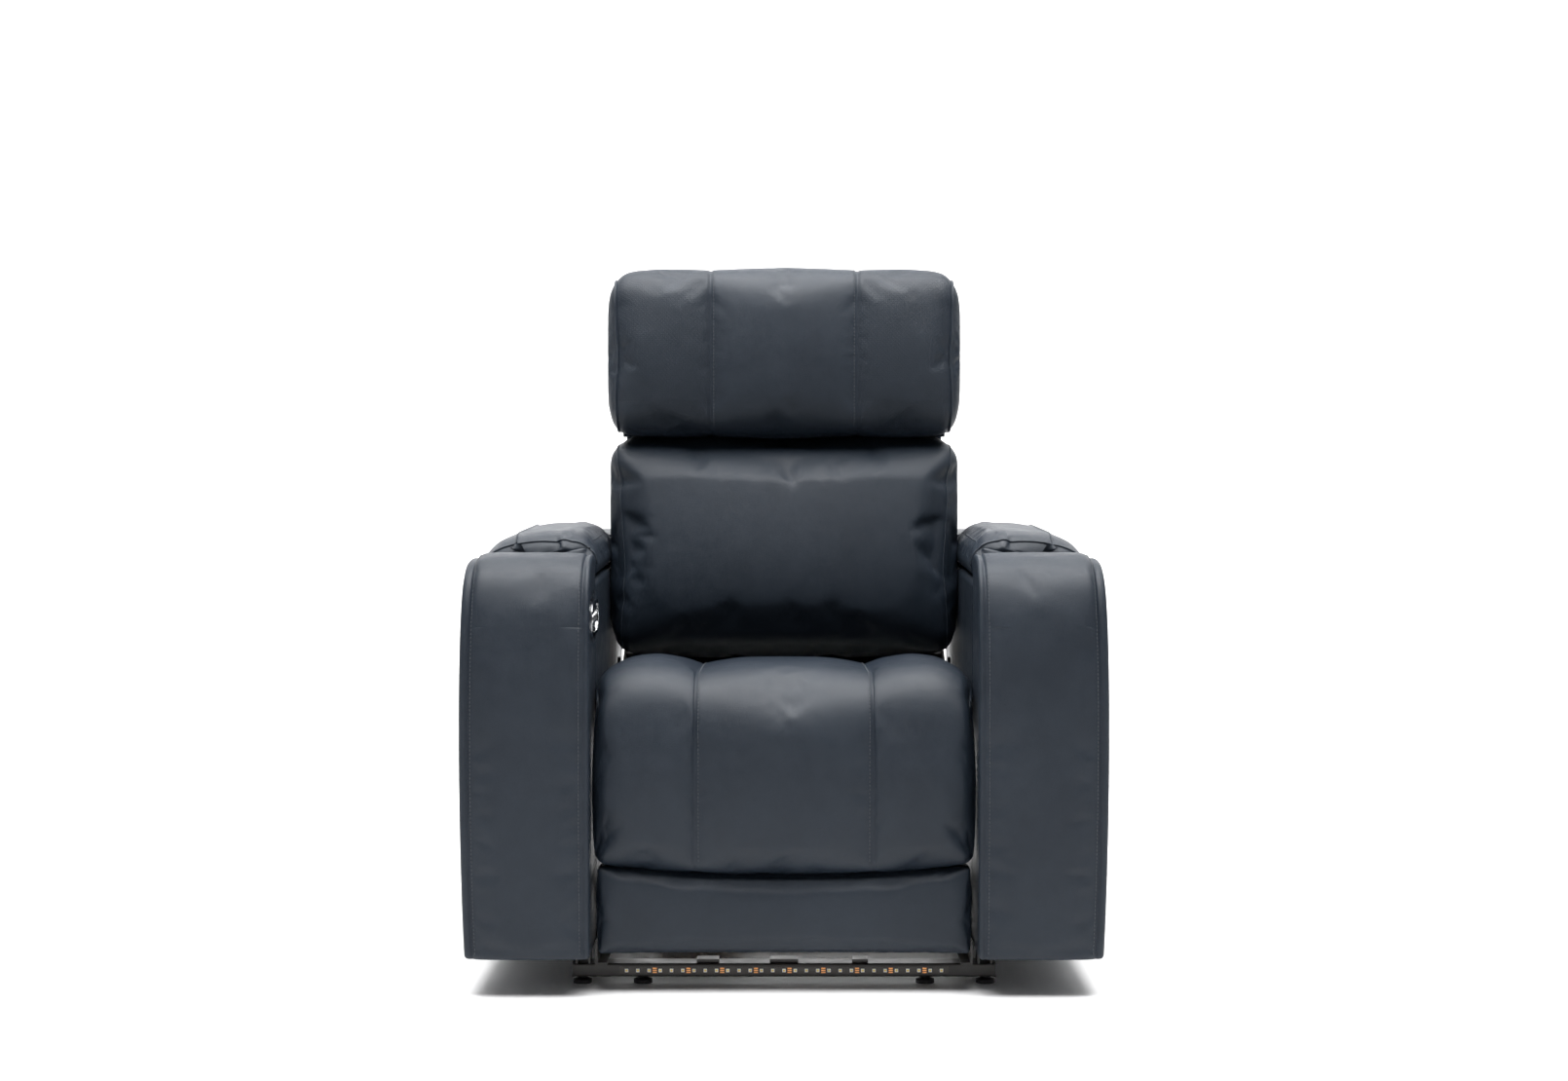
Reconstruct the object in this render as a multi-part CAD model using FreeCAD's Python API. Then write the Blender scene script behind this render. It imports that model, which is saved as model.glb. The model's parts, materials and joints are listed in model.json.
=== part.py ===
import FreeCAD, Part
import math
import os

V = FreeCAD.Vector

# Frame. X runs to the right seen from the front, Y to the rear and Z up, in millimetres.
# The origin is on the floor, in the middle of the chair's width and depth.
# In the comments and names a depth is counted rearwards from the front of the arms.

# Outer sizes
OVERALL_DEPTH = 880.0
ARM_GAP = 564.0
ARM_WIDTH = 181.0
SIDE_BULGE = 8.0
ARM_LENGTH = 850.0
ARM_UNDERSIDE = 54.0
ARM_TOP = 645.0
BACK_TOP = 1085.0

# Arm build
BOLSTER_RADIUS = 130.0
BOLSTER_DEPTH = 158.0
PANEL_WALL = 22.0
BOARD = 18.0
LID_START = 166.0
LID_LENGTH = 452.0
LID_SEAT = 597.0
LID_CROWN = 665.0
LID_OVERHANG = 2.5
LID_BOARD_THICKNESS = 9.0
TUB_WALL = 3.0
TUB_DEPTH = 190.0
TUB_FLANGE = 14.0
LID_PIN_RADIUS = 2.5
KNUCKLE_RADIUS = 5.0
KNUCKLES = 9

# Base frame
FOOT_HEIGHT = 12.0
FOOT_RADIUS = 14.0
OUTER_FOOT_X = 300.0
INNER_FOOT_X = 210.0
TUBE_HEIGHT = 20.0
TUBE_WIDTH = 40.0
TUBE_WALL = 2.0
TUBE_HALF_LENGTH = 312.0
FRONT_TUBE_DEPTH = 100.0
MID_TUBE_DEPTH = 405.0
REAR_TUBE_DEPTH = 770.0
TRACK_FRONT = 90.0
TRACK_HEIGHT = 34.0
TRACK_WIDTH = 17.0
TRACK_GAP = 3.0
STEEL = 3.0
SUPPLY_X = -130.0
SUPPLY_LENGTH = 120.0
SUPPLY_WIDTH = 70.0
SUPPLY_HEIGHT = 34.0
INLET_INSET = 18.0
INLET_LENGTH = 22.0
INLET_HEIGHT = 12.0
INLET_DEEP = 12.0
INLET_PIN_RADIUS = 1.2

# Light strip
STRIP_LENGTH = 488.0
STRIP_HEIGHT = 10.0
STRIP_THICKNESS = 1.2
LED_PITCH = 16.67
LED_SIDE = 5.0
LED_HEIGHT = 1.6
LEDS_PER_CUT = 3

# Seat and footrest
SEAT_TOP = 475.0
SEAT_FRONT = 25.0
SEAT_UNDERSIDE = 394.0
SEAT_HALF = 276.0
SEAT_REAR = 500.0
SEAT_FALL = 25.0
SEAM_X = 130.0
WEBBING_THICKNESS = 4.0
SEAM_SINK = 5.0
LOBE_RISE = 11.0
EDGE_DROP = 14.0
ROLL_RADIUS = 95.0
PIVOT_INSET = 28.0
FOOTREST_OPEN = 85.0
FOOT_PAD_THICKNESS = 62.0
FOOT_PAD_BOTTOM = 187.0
FOOT_PANEL_BOTTOM = 57.0
FOOT_PANEL_THICKNESS = 36.0
FOOT_BOARD_THICKNESS = 15.0

# Footrest linkage
LINK_REACH = 175.0
LINK_RISE = 75.0
SWING_BACK = 75.0
SWING_DROP = 150.0
SWING_TAIL = 125.0
DRIVER_SHARE = 0.42
LINK_WIDTH = 25.0
LINK_PLATE = 4.0
LINK_GAP = 1.5
RIVET_RADIUS = 5.0
CRANK_RADIUS = 60.0
TORQUE_TUBE_RADIUS = 11.0

# Recline
HINGE_DEPTH = 630.0
HINGE_HEIGHT = 270.0
LEVER = 160.0
RECLINE_ANGLE = 35.0
BACK_LEAN = 11.0
HINGE_PIN_RADIUS = 8.0
LEVER_PIN_RADIUS = 6.0
ROLLER_WIDTH = 10.0
FRONT_ROLLER_DEPTH = 200.0
REAR_ROLLER_DEPTH = 590.0

# Back and headrest
BACK_HALF = 278.5
BACK_WAIST = 273.0
BACK_FRONT = 430.0
BACK_CUSHION_TOP = 805.0
BACK_CUSHION_BOTTOM = 460.0
FRAME_SET = 30.0
FRAME_TUBE = 30.0
FRAME_HALF = 250.0
SHELL_HALF = 266.0
SHELL_REACH = 107.5
SHELL_WALL = 14.0
HEADREST_BOTTOM = 812.0
HEADREST_TOP = 1083.0
HEADREST_HALF = 281.0
HEADREST_FRONT = 465.0
HEADREST_THICKNESS = 130.0
HEADREST_SEAM_X = 118.0
HEADREST_ROUND = 50.0
HEADREST_TILT = 38.0
SECTOR_RADIUS = 145.0
SECTOR_X = 200.0
NUT_CRANK = 150.0

# Control panel on the inner face of the left arm
CONTROL_DEPTH = 122.0
CONTROL_BELOW_LID = 52.0
CONTROL_HEIGHT = LID_SEAT - CONTROL_BELOW_LID
CONTROL_LENGTH = 140.0
CONTROL_WIDTH = 50.0
BUTTON_RADIUS = 9.0
BUTTON_TRAVEL = 1.2
BUTTON_PITCH = 24.0

# Clearances
RUNNING = 0.08
SOFT_GAP = 0.6
SLOT_GAP = 1.9
LEVER_GAP = 0.9

# Places worked out from the sizes above
Y_FRONT = -OVERALL_DEPTH / 2
ARM_INNER = ARM_GAP / 2
ARM_OUTER = ARM_INNER + ARM_WIDTH
TUBE_TOP = FOOT_HEIGHT + TUBE_HEIGHT
TRACK_OUTER = ARM_INNER - TRACK_GAP
TRACK_TOP = TUBE_TOP + TRACK_HEIGHT
TRACK_REAR = REAR_TUBE_DEPTH + TUBE_WIDTH
TRACK_WEB_INSIDE = TRACK_OUTER - STEEL
TRACK_INNER = TRACK_OUTER - TRACK_WIDTH
ROLLER_RADIUS = (TRACK_HEIGHT - 2 * STEEL) / 2 - 0.3
ROLLER_HEIGHT = TUBE_TOP + TRACK_HEIGHT / 2
SIDE_PLATE_X = TRACK_INNER - 3.0
LINK_X1 = SIDE_PLATE_X - STEEL - LINK_GAP
LINK_X2 = LINK_X1 - LINK_PLATE - LINK_GAP
LINK_X3 = LINK_X2 - LINK_PLATE - LINK_GAP
BACK_PLATE_X = SIDE_PLATE_X + 3.0 + LINK_PLATE
SLOT_PLATE_X = BACK_PLATE_X + 4.0

# Points in the side view, as (depth, height)
PIVOT = (SEAT_FRONT + PIVOT_INSET, SEAT_TOP - PIVOT_INSET)
SWING_PIVOT = (PIVOT[0] + LINK_REACH, PIVOT[1] - LINK_RISE)
SWING_KNEE = (SWING_PIVOT[0] + SWING_BACK, SWING_PIVOT[1] - SWING_DROP)
SWING_END = (SWING_KNEE[0], SWING_KNEE[1] - SWING_TAIL)
DRIVER_PIVOT = (SWING_PIVOT[0] + DRIVER_SHARE * LINK_REACH, SWING_PIVOT[1] - DRIVER_SHARE * LINK_RISE)
DRIVER_END = (SWING_KNEE[0] + DRIVER_SHARE * LINK_REACH, SWING_KNEE[1] - DRIVER_SHARE * LINK_RISE)
BRACKET_HIGH = (SWING_KNEE[0] - LINK_REACH, SWING_KNEE[1] + LINK_RISE)
BRACKET_LOW = (SWING_END[0] - LINK_REACH, SWING_END[1] + LINK_RISE)
HINGE = (HINGE_DEPTH, HINGE_HEIGHT)
HALF_RECLINE = math.radians(RECLINE_ANGLE / 2)
LEVER_PIN = (HINGE_DEPTH - LEVER * math.sin(HALF_RECLINE), HINGE_HEIGHT + LEVER * math.cos(HALF_RECLINE))
HEADREST_PIVOT = (HEADREST_FRONT + HEADREST_ROUND, HEADREST_BOTTOM + HEADREST_ROUND)


def at(x, depth, height):
    """A point from its place across, its depth behind the arm fronts and its height."""
    return V(x, Y_FRONT + depth, height)


def box(x0, x1, d0, d1, z0, z1):
    """A block between two corners."""
    low = at(min(x0, x1), min(d0, d1), min(z0, z1))
    return Part.makeBox(abs(x1 - x0), abs(d1 - d0), abs(z1 - z0), low)


def rod(point, radius, x0, x1):
    """A round bar across the chair, centred on a side-view point."""
    return Part.makeCylinder(radius, abs(x1 - x0), at(min(x0, x1), point[0], point[1]), V(1, 0, 0))


def rounded_wire(corners, place):
    """A closed wire through (u, v, radius) corners, each turned by its own arc."""
    count = len(corners)
    edges = []
    ends = []
    for i in range(count):
        before, here, after = corners[i - 1], corners[i], corners[(i + 1) % count]
        p = V(here[0], here[1], 0)
        back = (V(before[0], before[1], 0) - p).normalize()
        ahead = (V(after[0], after[1], 0) - p).normalize()
        radius = here[2]
        if radius <= 0:
            ends.append((p, None, p))
            continue
        half = back.getAngle(ahead) / 2
        run = radius / math.tan(half)
        middle = p + (back + ahead).normalize() * (radius / math.sin(half) - radius)
        ends.append((p + back * run, middle, p + ahead * run))
    for i in range(count):
        start, middle, stop = ends[i]
        if middle is not None:
            edges.append(Part.Arc(place(start), place(middle), place(stop)).toShape())
        following = ends[(i + 1) % count][0]
        if (following - stop).Length > 1e-6:
            edges.append(Part.LineSegment(place(stop), place(following)).toShape())
    return Part.Wire(edges)


def side_plate(corners, x0, x1):
    """A plate across the chair from a side-view outline of (depth, height, radius) corners."""
    wire = rounded_wire(corners, lambda p: at(min(x0, x1), p.x, p.y))
    return Part.Face(wire).extrude(V(abs(x1 - x0), 0, 0))


def front_prism(corners, d0, d1):
    """A bar along the depth from a front-view outline of (across, height, radius) corners."""
    wire = rounded_wire(corners, lambda p: at(p.x, d0, p.y))
    return Part.Face(wire).extrude(V(0, d1 - d0, 0))


def plan_prism(corners, z0, z1):
    """An upright block from a plan outline of (across, depth, radius) corners."""
    wire = rounded_wire(corners, lambda p: at(p.x, p.y, z0))
    return Part.Face(wire).extrude(V(0, 0, z1 - z0))


def rectangle(u0, u1, v0, v1, radius):
    """The corners of a rounded rectangle."""
    return [(u0, v0, radius), (u1, v0, radius), (u1, v1, radius), (u0, v1, radius)]


def mirrored(shape):
    """The same piece on the other side of the chair."""
    return shape.mirror(V(0, 0, 0), V(1, 0, 0))


def both_sides(shape):
    """A right-hand piece and its mirror image, as two solids."""
    return [shape, mirrored(shape)]


def fuse(shapes):
    """One solid from pieces that touch or cross."""
    first = shapes[0]
    if len(shapes) > 1:
        first = first.fuse(shapes[1:])
    return first.removeSplitter()


def link_bar(points, width, x0, x1, hole):
    """A flat link with round ends through side-view points, with a hole at each."""
    bars = []
    for a, b in zip(points, points[1:]):
        run = math.hypot(b[0] - a[0], b[1] - a[1])
        bar = Part.makeBox(abs(x1 - x0), run, width, V(0, 0, -width / 2))
        bar.rotate(V(0, 0, 0), V(1, 0, 0), math.degrees(math.atan2(b[1] - a[1], b[0] - a[0])))
        bar.translate(at(min(x0, x1), a[0], a[1]))
        bars.append(bar)
    discs = [rod(p, width / 2, x0, x1) for p in points]
    link = fuse(bars + discs)
    if hole > 0:
        link = link.cut(Part.makeCompound([rod(p, hole, x0 - 1, x1 + 1) for p in points]))
    return link


def export(name, shapes):
    """Write one named sub-part, as one solid or a group of separate solids."""
    solids = []
    for shape in shapes:
        solids.extend(shape.Solids)
    whole = solids[0] if len(solids) == 1 else Part.makeCompound(solids)
    whole.exportStep(os.path.join("parts", name + ".step"))
    print(name, len(solids), round(whole.Volume / 1000, 1), whole.isValid())


# Base: feet, cross tubes, roller tracks and what stands on them

def levelling_foot(x, depth):
    """A turned foot: a wide pad, a cone and the stem that meets the tube."""
    neck = FOOT_RADIUS * 0.45
    outline = [(0, 0), (FOOT_RADIUS, 0), (FOOT_RADIUS, FOOT_HEIGHT * 0.45), (neck, FOOT_HEIGHT * 0.7),
               (neck, FOOT_HEIGHT), (0, FOOT_HEIGHT)]
    wire = Part.makePolygon([V(r, 0, z) for r, z in outline] + [V(0, 0, 0)])
    foot = Part.Face(wire).revolve(V(0, 0, 0), V(0, 0, 1), 360)
    foot.translate(at(x, depth, 0))
    return foot


def cross_tube(depth):
    """A rectangular steel tube across the chair, open at its ends."""
    outer = [(-1, 0), (1, 0), (1, 1), (-1, 1)]
    middle = depth + TUBE_WIDTH / 2

    def section(inset):
        half = TUBE_WIDTH / 2 - inset
        low, high = FOOT_HEIGHT + inset, TUBE_TOP - inset
        corners = [(middle + side * half, high if up else low, max(0.5, 3.0 - inset)) for side, up in outer]
        return side_plate(corners, -TUBE_HALF_LENGTH, TUBE_HALF_LENGTH)

    return section(0).cut(section(TUBE_WALL))


def end_cap(x, depth):
    """A plastic plug with a thin flange in one end of a cross tube."""
    side = 1 if x > 0 else -1
    flange = box(x, x + side * 2.0, depth, depth + TUBE_WIDTH, FOOT_HEIGHT, TUBE_TOP)
    inset = TUBE_WALL + 0.3
    plug = box(x - side * 14.0, x, depth + inset, depth + TUBE_WIDTH - inset,
               FOOT_HEIGHT + inset, TUBE_TOP - inset)
    return flange.fuse(plug)


def roller_track():
    """A steel channel, open inwards, that one side's rollers run in."""
    outer = box(TRACK_INNER, TRACK_OUTER, TRACK_FRONT, TRACK_REAR, TUBE_TOP, TRACK_TOP)
    hollow = box(TRACK_INNER - 1, TRACK_WEB_INSIDE, TRACK_FRONT - 1, TRACK_REAR + 1,
                 TUBE_TOP + STEEL, TRACK_TOP - STEEL)
    return outer.cut(hollow)


def slot_plate():
    """The upright plate whose slot holds the lever pin of the back in place."""
    middle, top = LEVER_PIN[0], HINGE_HEIGHT + LEVER
    reach = LEVER_PIN_RADIUS + LEVER_GAP
    corners = [(middle - 34, TRACK_TOP, 0), (middle + 34, TRACK_TOP, 0), (middle + 18, 170.0, 30),
               (middle + 17, top + 17, 16), (middle - 17, top + 17, 16), (middle - 18, 170.0, 30)]
    plate = side_plate(corners, SLOT_PLATE_X, SLOT_PLATE_X + LINK_PLATE)
    slot = side_plate(rectangle(middle - reach, middle + reach, LEVER_PIN[1] - reach, top + reach, reach * 0.98),
                      SLOT_PLATE_X - 1, SLOT_PLATE_X + LINK_PLATE + 1)
    return plate.cut(slot)


def arm_bracket(depth):
    """A folded steel bracket between a cross tube's end and the arm above it."""
    x0, x1 = ARM_INNER + 5.0, TUBE_HALF_LENGTH - 3.0
    outer = box(x0, x1, depth, depth + TUBE_WIDTH, TUBE_TOP, ARM_UNDERSIDE)
    inner = box(x0 + STEEL, x1 - STEEL, depth - 1, depth + TUBE_WIDTH + 1, TUBE_TOP - 1, ARM_UNDERSIDE - STEEL)
    return outer.cut(inner)


def tube_clips():
    """Small steel clips on top of the front tube, over the light strip's leads."""
    clips = []
    for x, length in ((0, 42.0), (-113, 33.0), (113, 23.0)):
        clips.append(box(x - length / 2, x + length / 2, FRONT_TUBE_DEPTH + 8, FRONT_TUBE_DEPTH + 34,
                         TUBE_TOP, TUBE_TOP + 5))
    return clips


def linear_drive(x, front, rear, height, motor_at_rear=True):
    """A screw drive along the depth: its rail, its screw and the motor with a gear case at one end."""
    rail_half, rail_height = 17.0, 22.0
    rail = box(x - rail_half, x + rail_half, front, rear, height, height + rail_height)
    groove = box(x - rail_half + 3, x + rail_half - 3, front + 3, rear - 3, height + 3, height + rail_height + 1)
    screw = Part.makeCylinder(4.0, rear - front - 6, at(x, front + 3, height + 11), V(0, 1, 0))
    rail = rail.cut(groove).fuse(screw)
    start = rear if motor_at_rear else front - 58.0
    case = front_prism(rectangle(x - 24, x + 24, height, height + 40, 8), start, start + 58)
    can = Part.makeCylinder(19.0, 86.0, at(x + 20, start + 30, height + 20), V(1, 0, 0))
    return rail, case.fuse(can)


def drive_nut(x, depth, height):
    """The block that the screw pushes along the rail, with its bore and a neck above the rail."""
    body = box(x - 13.6, x + 13.6, depth - 18, depth + 18, height + 3.4, height + 30)
    bore = Part.makeCylinder(4.0 + RUNNING, 40, at(x, depth - 20, height + 11), V(0, 1, 0))
    return body.cut(bore)


RECLINE_NUT_DEPTH = 690.0
RECLINE_RAIL_FRONT = MID_TUBE_DEPTH + 30.0
RECLINE_RAIL_REAR = REAR_TUBE_DEPTH - 40.0
RECLINE_RAIL_HEIGHT = TUBE_TOP


def power_supply():
    """The mains adapter on the middle tube: its case, the flange it hangs by and the inlet for a cord."""
    low, high = TUBE_TOP, TUBE_TOP + SUPPLY_HEIGHT
    rear = MID_TUBE_DEPTH - 5.0
    left, right = SUPPLY_X - SUPPLY_LENGTH / 2, SUPPLY_X + SUPPLY_LENGTH / 2
    case = box(left, right, rear - SUPPLY_WIDTH, rear, low, high)
    flange = box(left - 15, right + 15, rear - 8, MID_TUBE_DEPTH + 12, low, low + STEEL)
    middle = (low + high) / 2
    inlet = box(left + INLET_INSET, left + INLET_INSET + INLET_LENGTH, rear - INLET_DEEP, rear + 1,
                middle - INLET_HEIGHT / 2, middle + INLET_HEIGHT / 2)
    pins = [Part.makeCylinder(INLET_PIN_RADIUS, INLET_DEEP, at(left + INLET_INSET + share * INLET_LENGTH, rear - INLET_DEEP, middle),
                              V(0, 1, 0)) for share in (0.3, 0.7)]
    return fuse([case.fuse(flange).cut(inlet)] + pins)


def make_base():
    depths = [FRONT_TUBE_DEPTH, REAR_TUBE_DEPTH]
    feet = [levelling_foot(side * x, depth + TUBE_WIDTH / 2)
            for depth in depths for x in (OUTER_FOOT_X, INNER_FOOT_X) for side in (-1, 1)]
    export("levelling_feet", feet)
    export("cross_tubes", [cross_tube(depth) for depth in (FRONT_TUBE_DEPTH, MID_TUBE_DEPTH, REAR_TUBE_DEPTH)])
    caps = [end_cap(side * TUBE_HALF_LENGTH, depth) for depth in depths + [MID_TUBE_DEPTH] for side in (-1, 1)]
    export("tube_end_caps", caps)
    export("roller_tracks", both_sides(roller_track()))
    export("recline_slot_plates", both_sides(slot_plate()))
    export("base_brackets", [p for depth in depths for p in both_sides(arm_bracket(depth))] + tube_clips())
    rail, motor = linear_drive(0, RECLINE_RAIL_FRONT, RECLINE_RAIL_REAR, RECLINE_RAIL_HEIGHT)
    export("recline_rail", [rail])
    export("recline_motor", [motor])
    export("power_supply", [power_supply()])


def make_light_strip():
    """The light strip on the front tube: its board, the lights and the copper pads at each cut."""
    face = FRONT_TUBE_DEPTH
    middle = FOOT_HEIGHT + TUBE_HEIGHT / 2
    front = face - STRIP_THICKNESS
    half = STRIP_LENGTH / 2
    export("light_strip_board", [box(-half, half, front, face, middle - STRIP_HEIGHT / 2, middle + STRIP_HEIGHT / 2)])
    count = int(STRIP_LENGTH / LED_PITCH)
    first = -LED_PITCH * (count - 1) / 2
    lights = []
    for i in range(count):
        x = first + i * LED_PITCH
        lights.append(box(x - LED_SIDE / 2, x + LED_SIDE / 2, front - LED_HEIGHT, front,
                          middle - LED_SIDE / 2, middle + LED_SIDE / 2))
    export("strip_lights", lights)
    pads = []
    for i in range(LEDS_PER_CUT - 1, count - 1, LEDS_PER_CUT):
        x = first + (i + 0.5) * LED_PITCH
        for row in (-3.0, 0.0, 3.0):
            pads.append(box(x - 3.0, x + 3.0, front - 0.3, front, middle + row - 0.9, middle + row + 0.9))
    export("strip_contact_pads", pads)


# Arms: upholstered box, rolled front, storage tub and hinged lid

def arm_outline(bottom, top, inner_round=12.0):
    """Front-view outline of one arm, rounded on top and bulging a little on its outer side."""
    out = ARM_OUTER + SIDE_BULGE
    return [(ARM_INNER, bottom, 6), (out - SIDE_BULGE, bottom, 14), (out, bottom + 90, 160),
            (out, top - 40, 60), (out - 14, top, 30), (ARM_INNER, top, inner_round)]


def box_outline(bottom, top):
    """The same outline where the lid lies on it: flat on top nearly to the outer side."""
    out = ARM_OUTER + SIDE_BULGE
    return [(ARM_INNER, bottom, 6), (out - SIDE_BULGE, bottom, 14), (out, bottom + 90, 160),
            (out, top, 9), (ARM_INNER, top, 9)]


def arm_shell():
    """The arm's padded box: outer side, inner side, ends and floor round an open middle."""
    start = BOLSTER_DEPTH + 0.3
    rear_start = LID_START + LID_LENGTH + 3.0
    low = front_prism(box_outline(ARM_UNDERSIDE, LID_SEAT), start, ARM_LENGTH)
    rear = front_prism(arm_outline(ARM_UNDERSIDE, ARM_TOP + 3), rear_start, ARM_LENGTH)
    body = low.fuse(rear).removeSplitter()
    corner = [e for e in body.Edges
              if e.BoundBox.YMin > Y_FRONT + ARM_LENGTH - 0.5 and e.BoundBox.ZMax > ARM_UNDERSIDE + 20]
    body = body.makeFillet(9.0, corner)
    hollow = plan_prism(rectangle(ARM_INNER + PANEL_WALL, ARM_OUTER - PANEL_WALL, LID_START + 18,
                                  rear_start - 22, 6), ARM_UNDERSIDE + BOARD, LID_SEAT + 80)
    return body.cut(hollow)


def arm_bolster():
    """The rolled leather front: straight in front, then over the top in one large curve."""
    side = [(0, ARM_UNDERSIDE, 8), (BOLSTER_DEPTH, ARM_UNDERSIDE, 0), (BOLSTER_DEPTH, ARM_TOP - 4, 14),
            (BOLSTER_RADIUS, ARM_TOP, 40), (34, ARM_TOP - 14, 70), (0, ARM_TOP - BOLSTER_RADIUS, BOLSTER_RADIUS)]
    rolled = side_plate(side, ARM_INNER, ARM_OUTER + SIDE_BULGE)
    front = front_prism(arm_outline(ARM_UNDERSIDE, ARM_TOP), -1, BOLSTER_DEPTH + 1)
    return rolled.common(front)


def storage_tub():
    """The lined bin in the arm, hung by its flange on the arm's rim."""
    x0, x1 = ARM_INNER + PANEL_WALL + 1.0, ARM_OUTER - PANEL_WALL - 1.0
    d0, d1 = LID_START + 19, LID_START + LID_LENGTH - 21
    flange = plan_prism(rectangle(x0 - TUB_FLANGE / 2, x1 + TUB_FLANGE / 2, d0 - TUB_FLANGE / 2,
                                  d1 + TUB_FLANGE / 2, 10), LID_SEAT, LID_SEAT + TUB_WALL)
    body = plan_prism(rectangle(x0, x1, d0, d1, 8), LID_SEAT - TUB_DEPTH, LID_SEAT)
    hollow = plan_prism(rectangle(x0 + TUB_WALL, x1 - TUB_WALL, d0 + TUB_WALL, d1 - TUB_WALL, 6),
                        LID_SEAT - TUB_DEPTH + TUB_WALL, LID_SEAT + 20)
    return flange.fuse(body).cut(hollow)


LID_PIN = (ARM_OUTER + 1.0, LID_SEAT + KNUCKLE_RADIUS + 0.5)


def lid_hinge():
    """The long hinge at the lid's outer edge, as its fixed leaf with pin and its moving leaf."""
    length = LID_LENGTH - 60.0
    pitch = length / KNUCKLES
    start = LID_START + 30.0
    x, z = LID_PIN
    fixed, moving = [], []
    for i in range(KNUCKLES):
        d0 = start + i * pitch
        knuckle = Part.makeCylinder(KNUCKLE_RADIUS, pitch - 0.6, at(x, d0 + 0.3, z), V(0, 1, 0))
        bore = Part.makeCylinder(LID_PIN_RADIUS + RUNNING, pitch, at(x, d0, z), V(0, 1, 0))
        if i % 2 == 0:
            fixed.append(knuckle.fuse(box(x - 1, x + 1, d0 + 0.3, d0 + pitch - 0.3, LID_SEAT, z)))
        else:
            web = box(x - 9, x, d0 + 0.3, d0 + pitch - 0.3, z + KNUCKLE_RADIUS - 2, z + KNUCKLE_RADIUS)
            moving.append(knuckle.fuse(web).cut(bore))
    fixed.append(Part.makeCylinder(LID_PIN_RADIUS, length - 0.8, at(x, start + 0.4, z), V(0, 1, 0)))
    fixed.append(box(x - 14, x + 1, start + 0.3, start + length - 0.3, LID_SEAT, LID_SEAT + 0.5))
    leaf = box(x - 28, x - 7, start + 0.3, start + length - 0.3, z + KNUCKLE_RADIUS - 2, z + KNUCKLE_RADIUS)
    return fuse(fixed), fuse(moving + [leaf])


LID_BOARD_BOTTOM = LID_PIN[1] + KNUCKLE_RADIUS


def lid_board():
    """The board in the lid's underside, screwed to the moving hinge leaf."""
    return plan_prism(rectangle(ARM_INNER + 10, LID_PIN[0] - 8, LID_START + 10, LID_START + LID_LENGTH - 8, 8),
                      LID_BOARD_BOTTOM, LID_BOARD_BOTTOM + LID_BOARD_THICKNESS)


def lid_section(depth, lift, draw):
    """One front-view section of the padded lid: bullnose inside, crown on top, low outer side."""
    low = LID_SEAT + 4.0
    inner = ARM_INNER - LID_OVERHANG + draw
    outer = ARM_OUTER + 2.5 - draw
    crown = LID_CROWN - lift
    width = outer - inner

    def p(x, z):
        return at(x, depth, z)

    nose_z = (low + crown) / 2 - 4
    a, b = p(inner + 10, low), p(outer - 8, low)
    c, d = p(outer, low + 12), p(outer - 3, crown - 32)
    e, f = p(inner + width * 0.66, crown - 3), p(inner + width * 0.2, crown - 3)
    g = p(inner + 1, nose_z + 10)
    edges = [
        Part.LineSegment(a, b).toShape(),
        Part.Arc(b, p(outer - 2, low + 4), c).toShape(),
        Part.LineSegment(c, d).toShape(),
        Part.Arc(d, p(inner + width * 0.86, crown - 13), e).toShape(),
        Part.Arc(e, p(inner + width * 0.43, crown), f).toShape(),
        Part.Arc(f, p(inner + width * 0.07, crown - 8), g).toShape(),
        Part.Arc(g, p(inner, (low + nose_z) / 2), a).toShape(),
    ]
    return Part.Wire(edges)


def arm_lid():
    """The padded lid: its crowned section lofted along the arm and drawn in at both ends."""
    end = LID_START + LID_LENGTH
    stations = [(LID_START, 16, 3), (LID_START + 12, 7, 0.6), (LID_START + 110, 2, 0), (LID_START + 240, 0, 0),
                (end - 90, 6, 0), (end - 12, 14, 0.6), (end, 22, 3)]
    pad = Part.makeLoft([lid_section(*s) for s in stations], True, True)
    board = plan_prism(rectangle(ARM_INNER + 9, LID_PIN[0] - 7, LID_START + 9, end - 7, 8),
                       LID_SEAT, LID_BOARD_BOTTOM + LID_BOARD_THICKNESS + 0.3)
    hinge = box(LID_PIN[0] - 30, ARM_OUTER + 10, LID_START + 28, end - 28, LID_SEAT, LID_PIN[1] + KNUCKLE_RADIUS + 1)
    return pad.cut(board).cut(hinge)


def make_arms():
    shell, bolster, tub = arm_shell(), arm_bolster(), storage_tub()
    leaf, moving = lid_hinge()
    board, pad = lid_board(), arm_lid()
    # the control panel sits in a pocket of the left arm's rolled front
    pocket = control_stadium(-ARM_INNER - 12.0, -ARM_INNER + 3.0, 0.2)
    for side, name in ((1, "right"), (-1, "left")):
        pieces = [shell, bolster, tub, leaf, moving, board, pad]
        if side < 0:
            pieces = [mirrored(p) for p in pieces]
            pieces[0] = pieces[0].cut(pocket)
            pieces[1] = pieces[1].cut(pocket)
        export("arm_box_" + name, [pieces[0]])
        export("arm_front_" + name, [pieces[1]])
        export("storage_tub_" + name, [pieces[2]])
        export("lid_hinge_arm_" + name, [pieces[4]])
        export("lid_board_" + name, [pieces[5]])
        export("arm_lid_" + name, [pieces[6]])
    export("lid_hinge_leaves", both_sides(leaf))


# Control panel: oval bezel, dark plate, four keys and a charging socket

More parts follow.
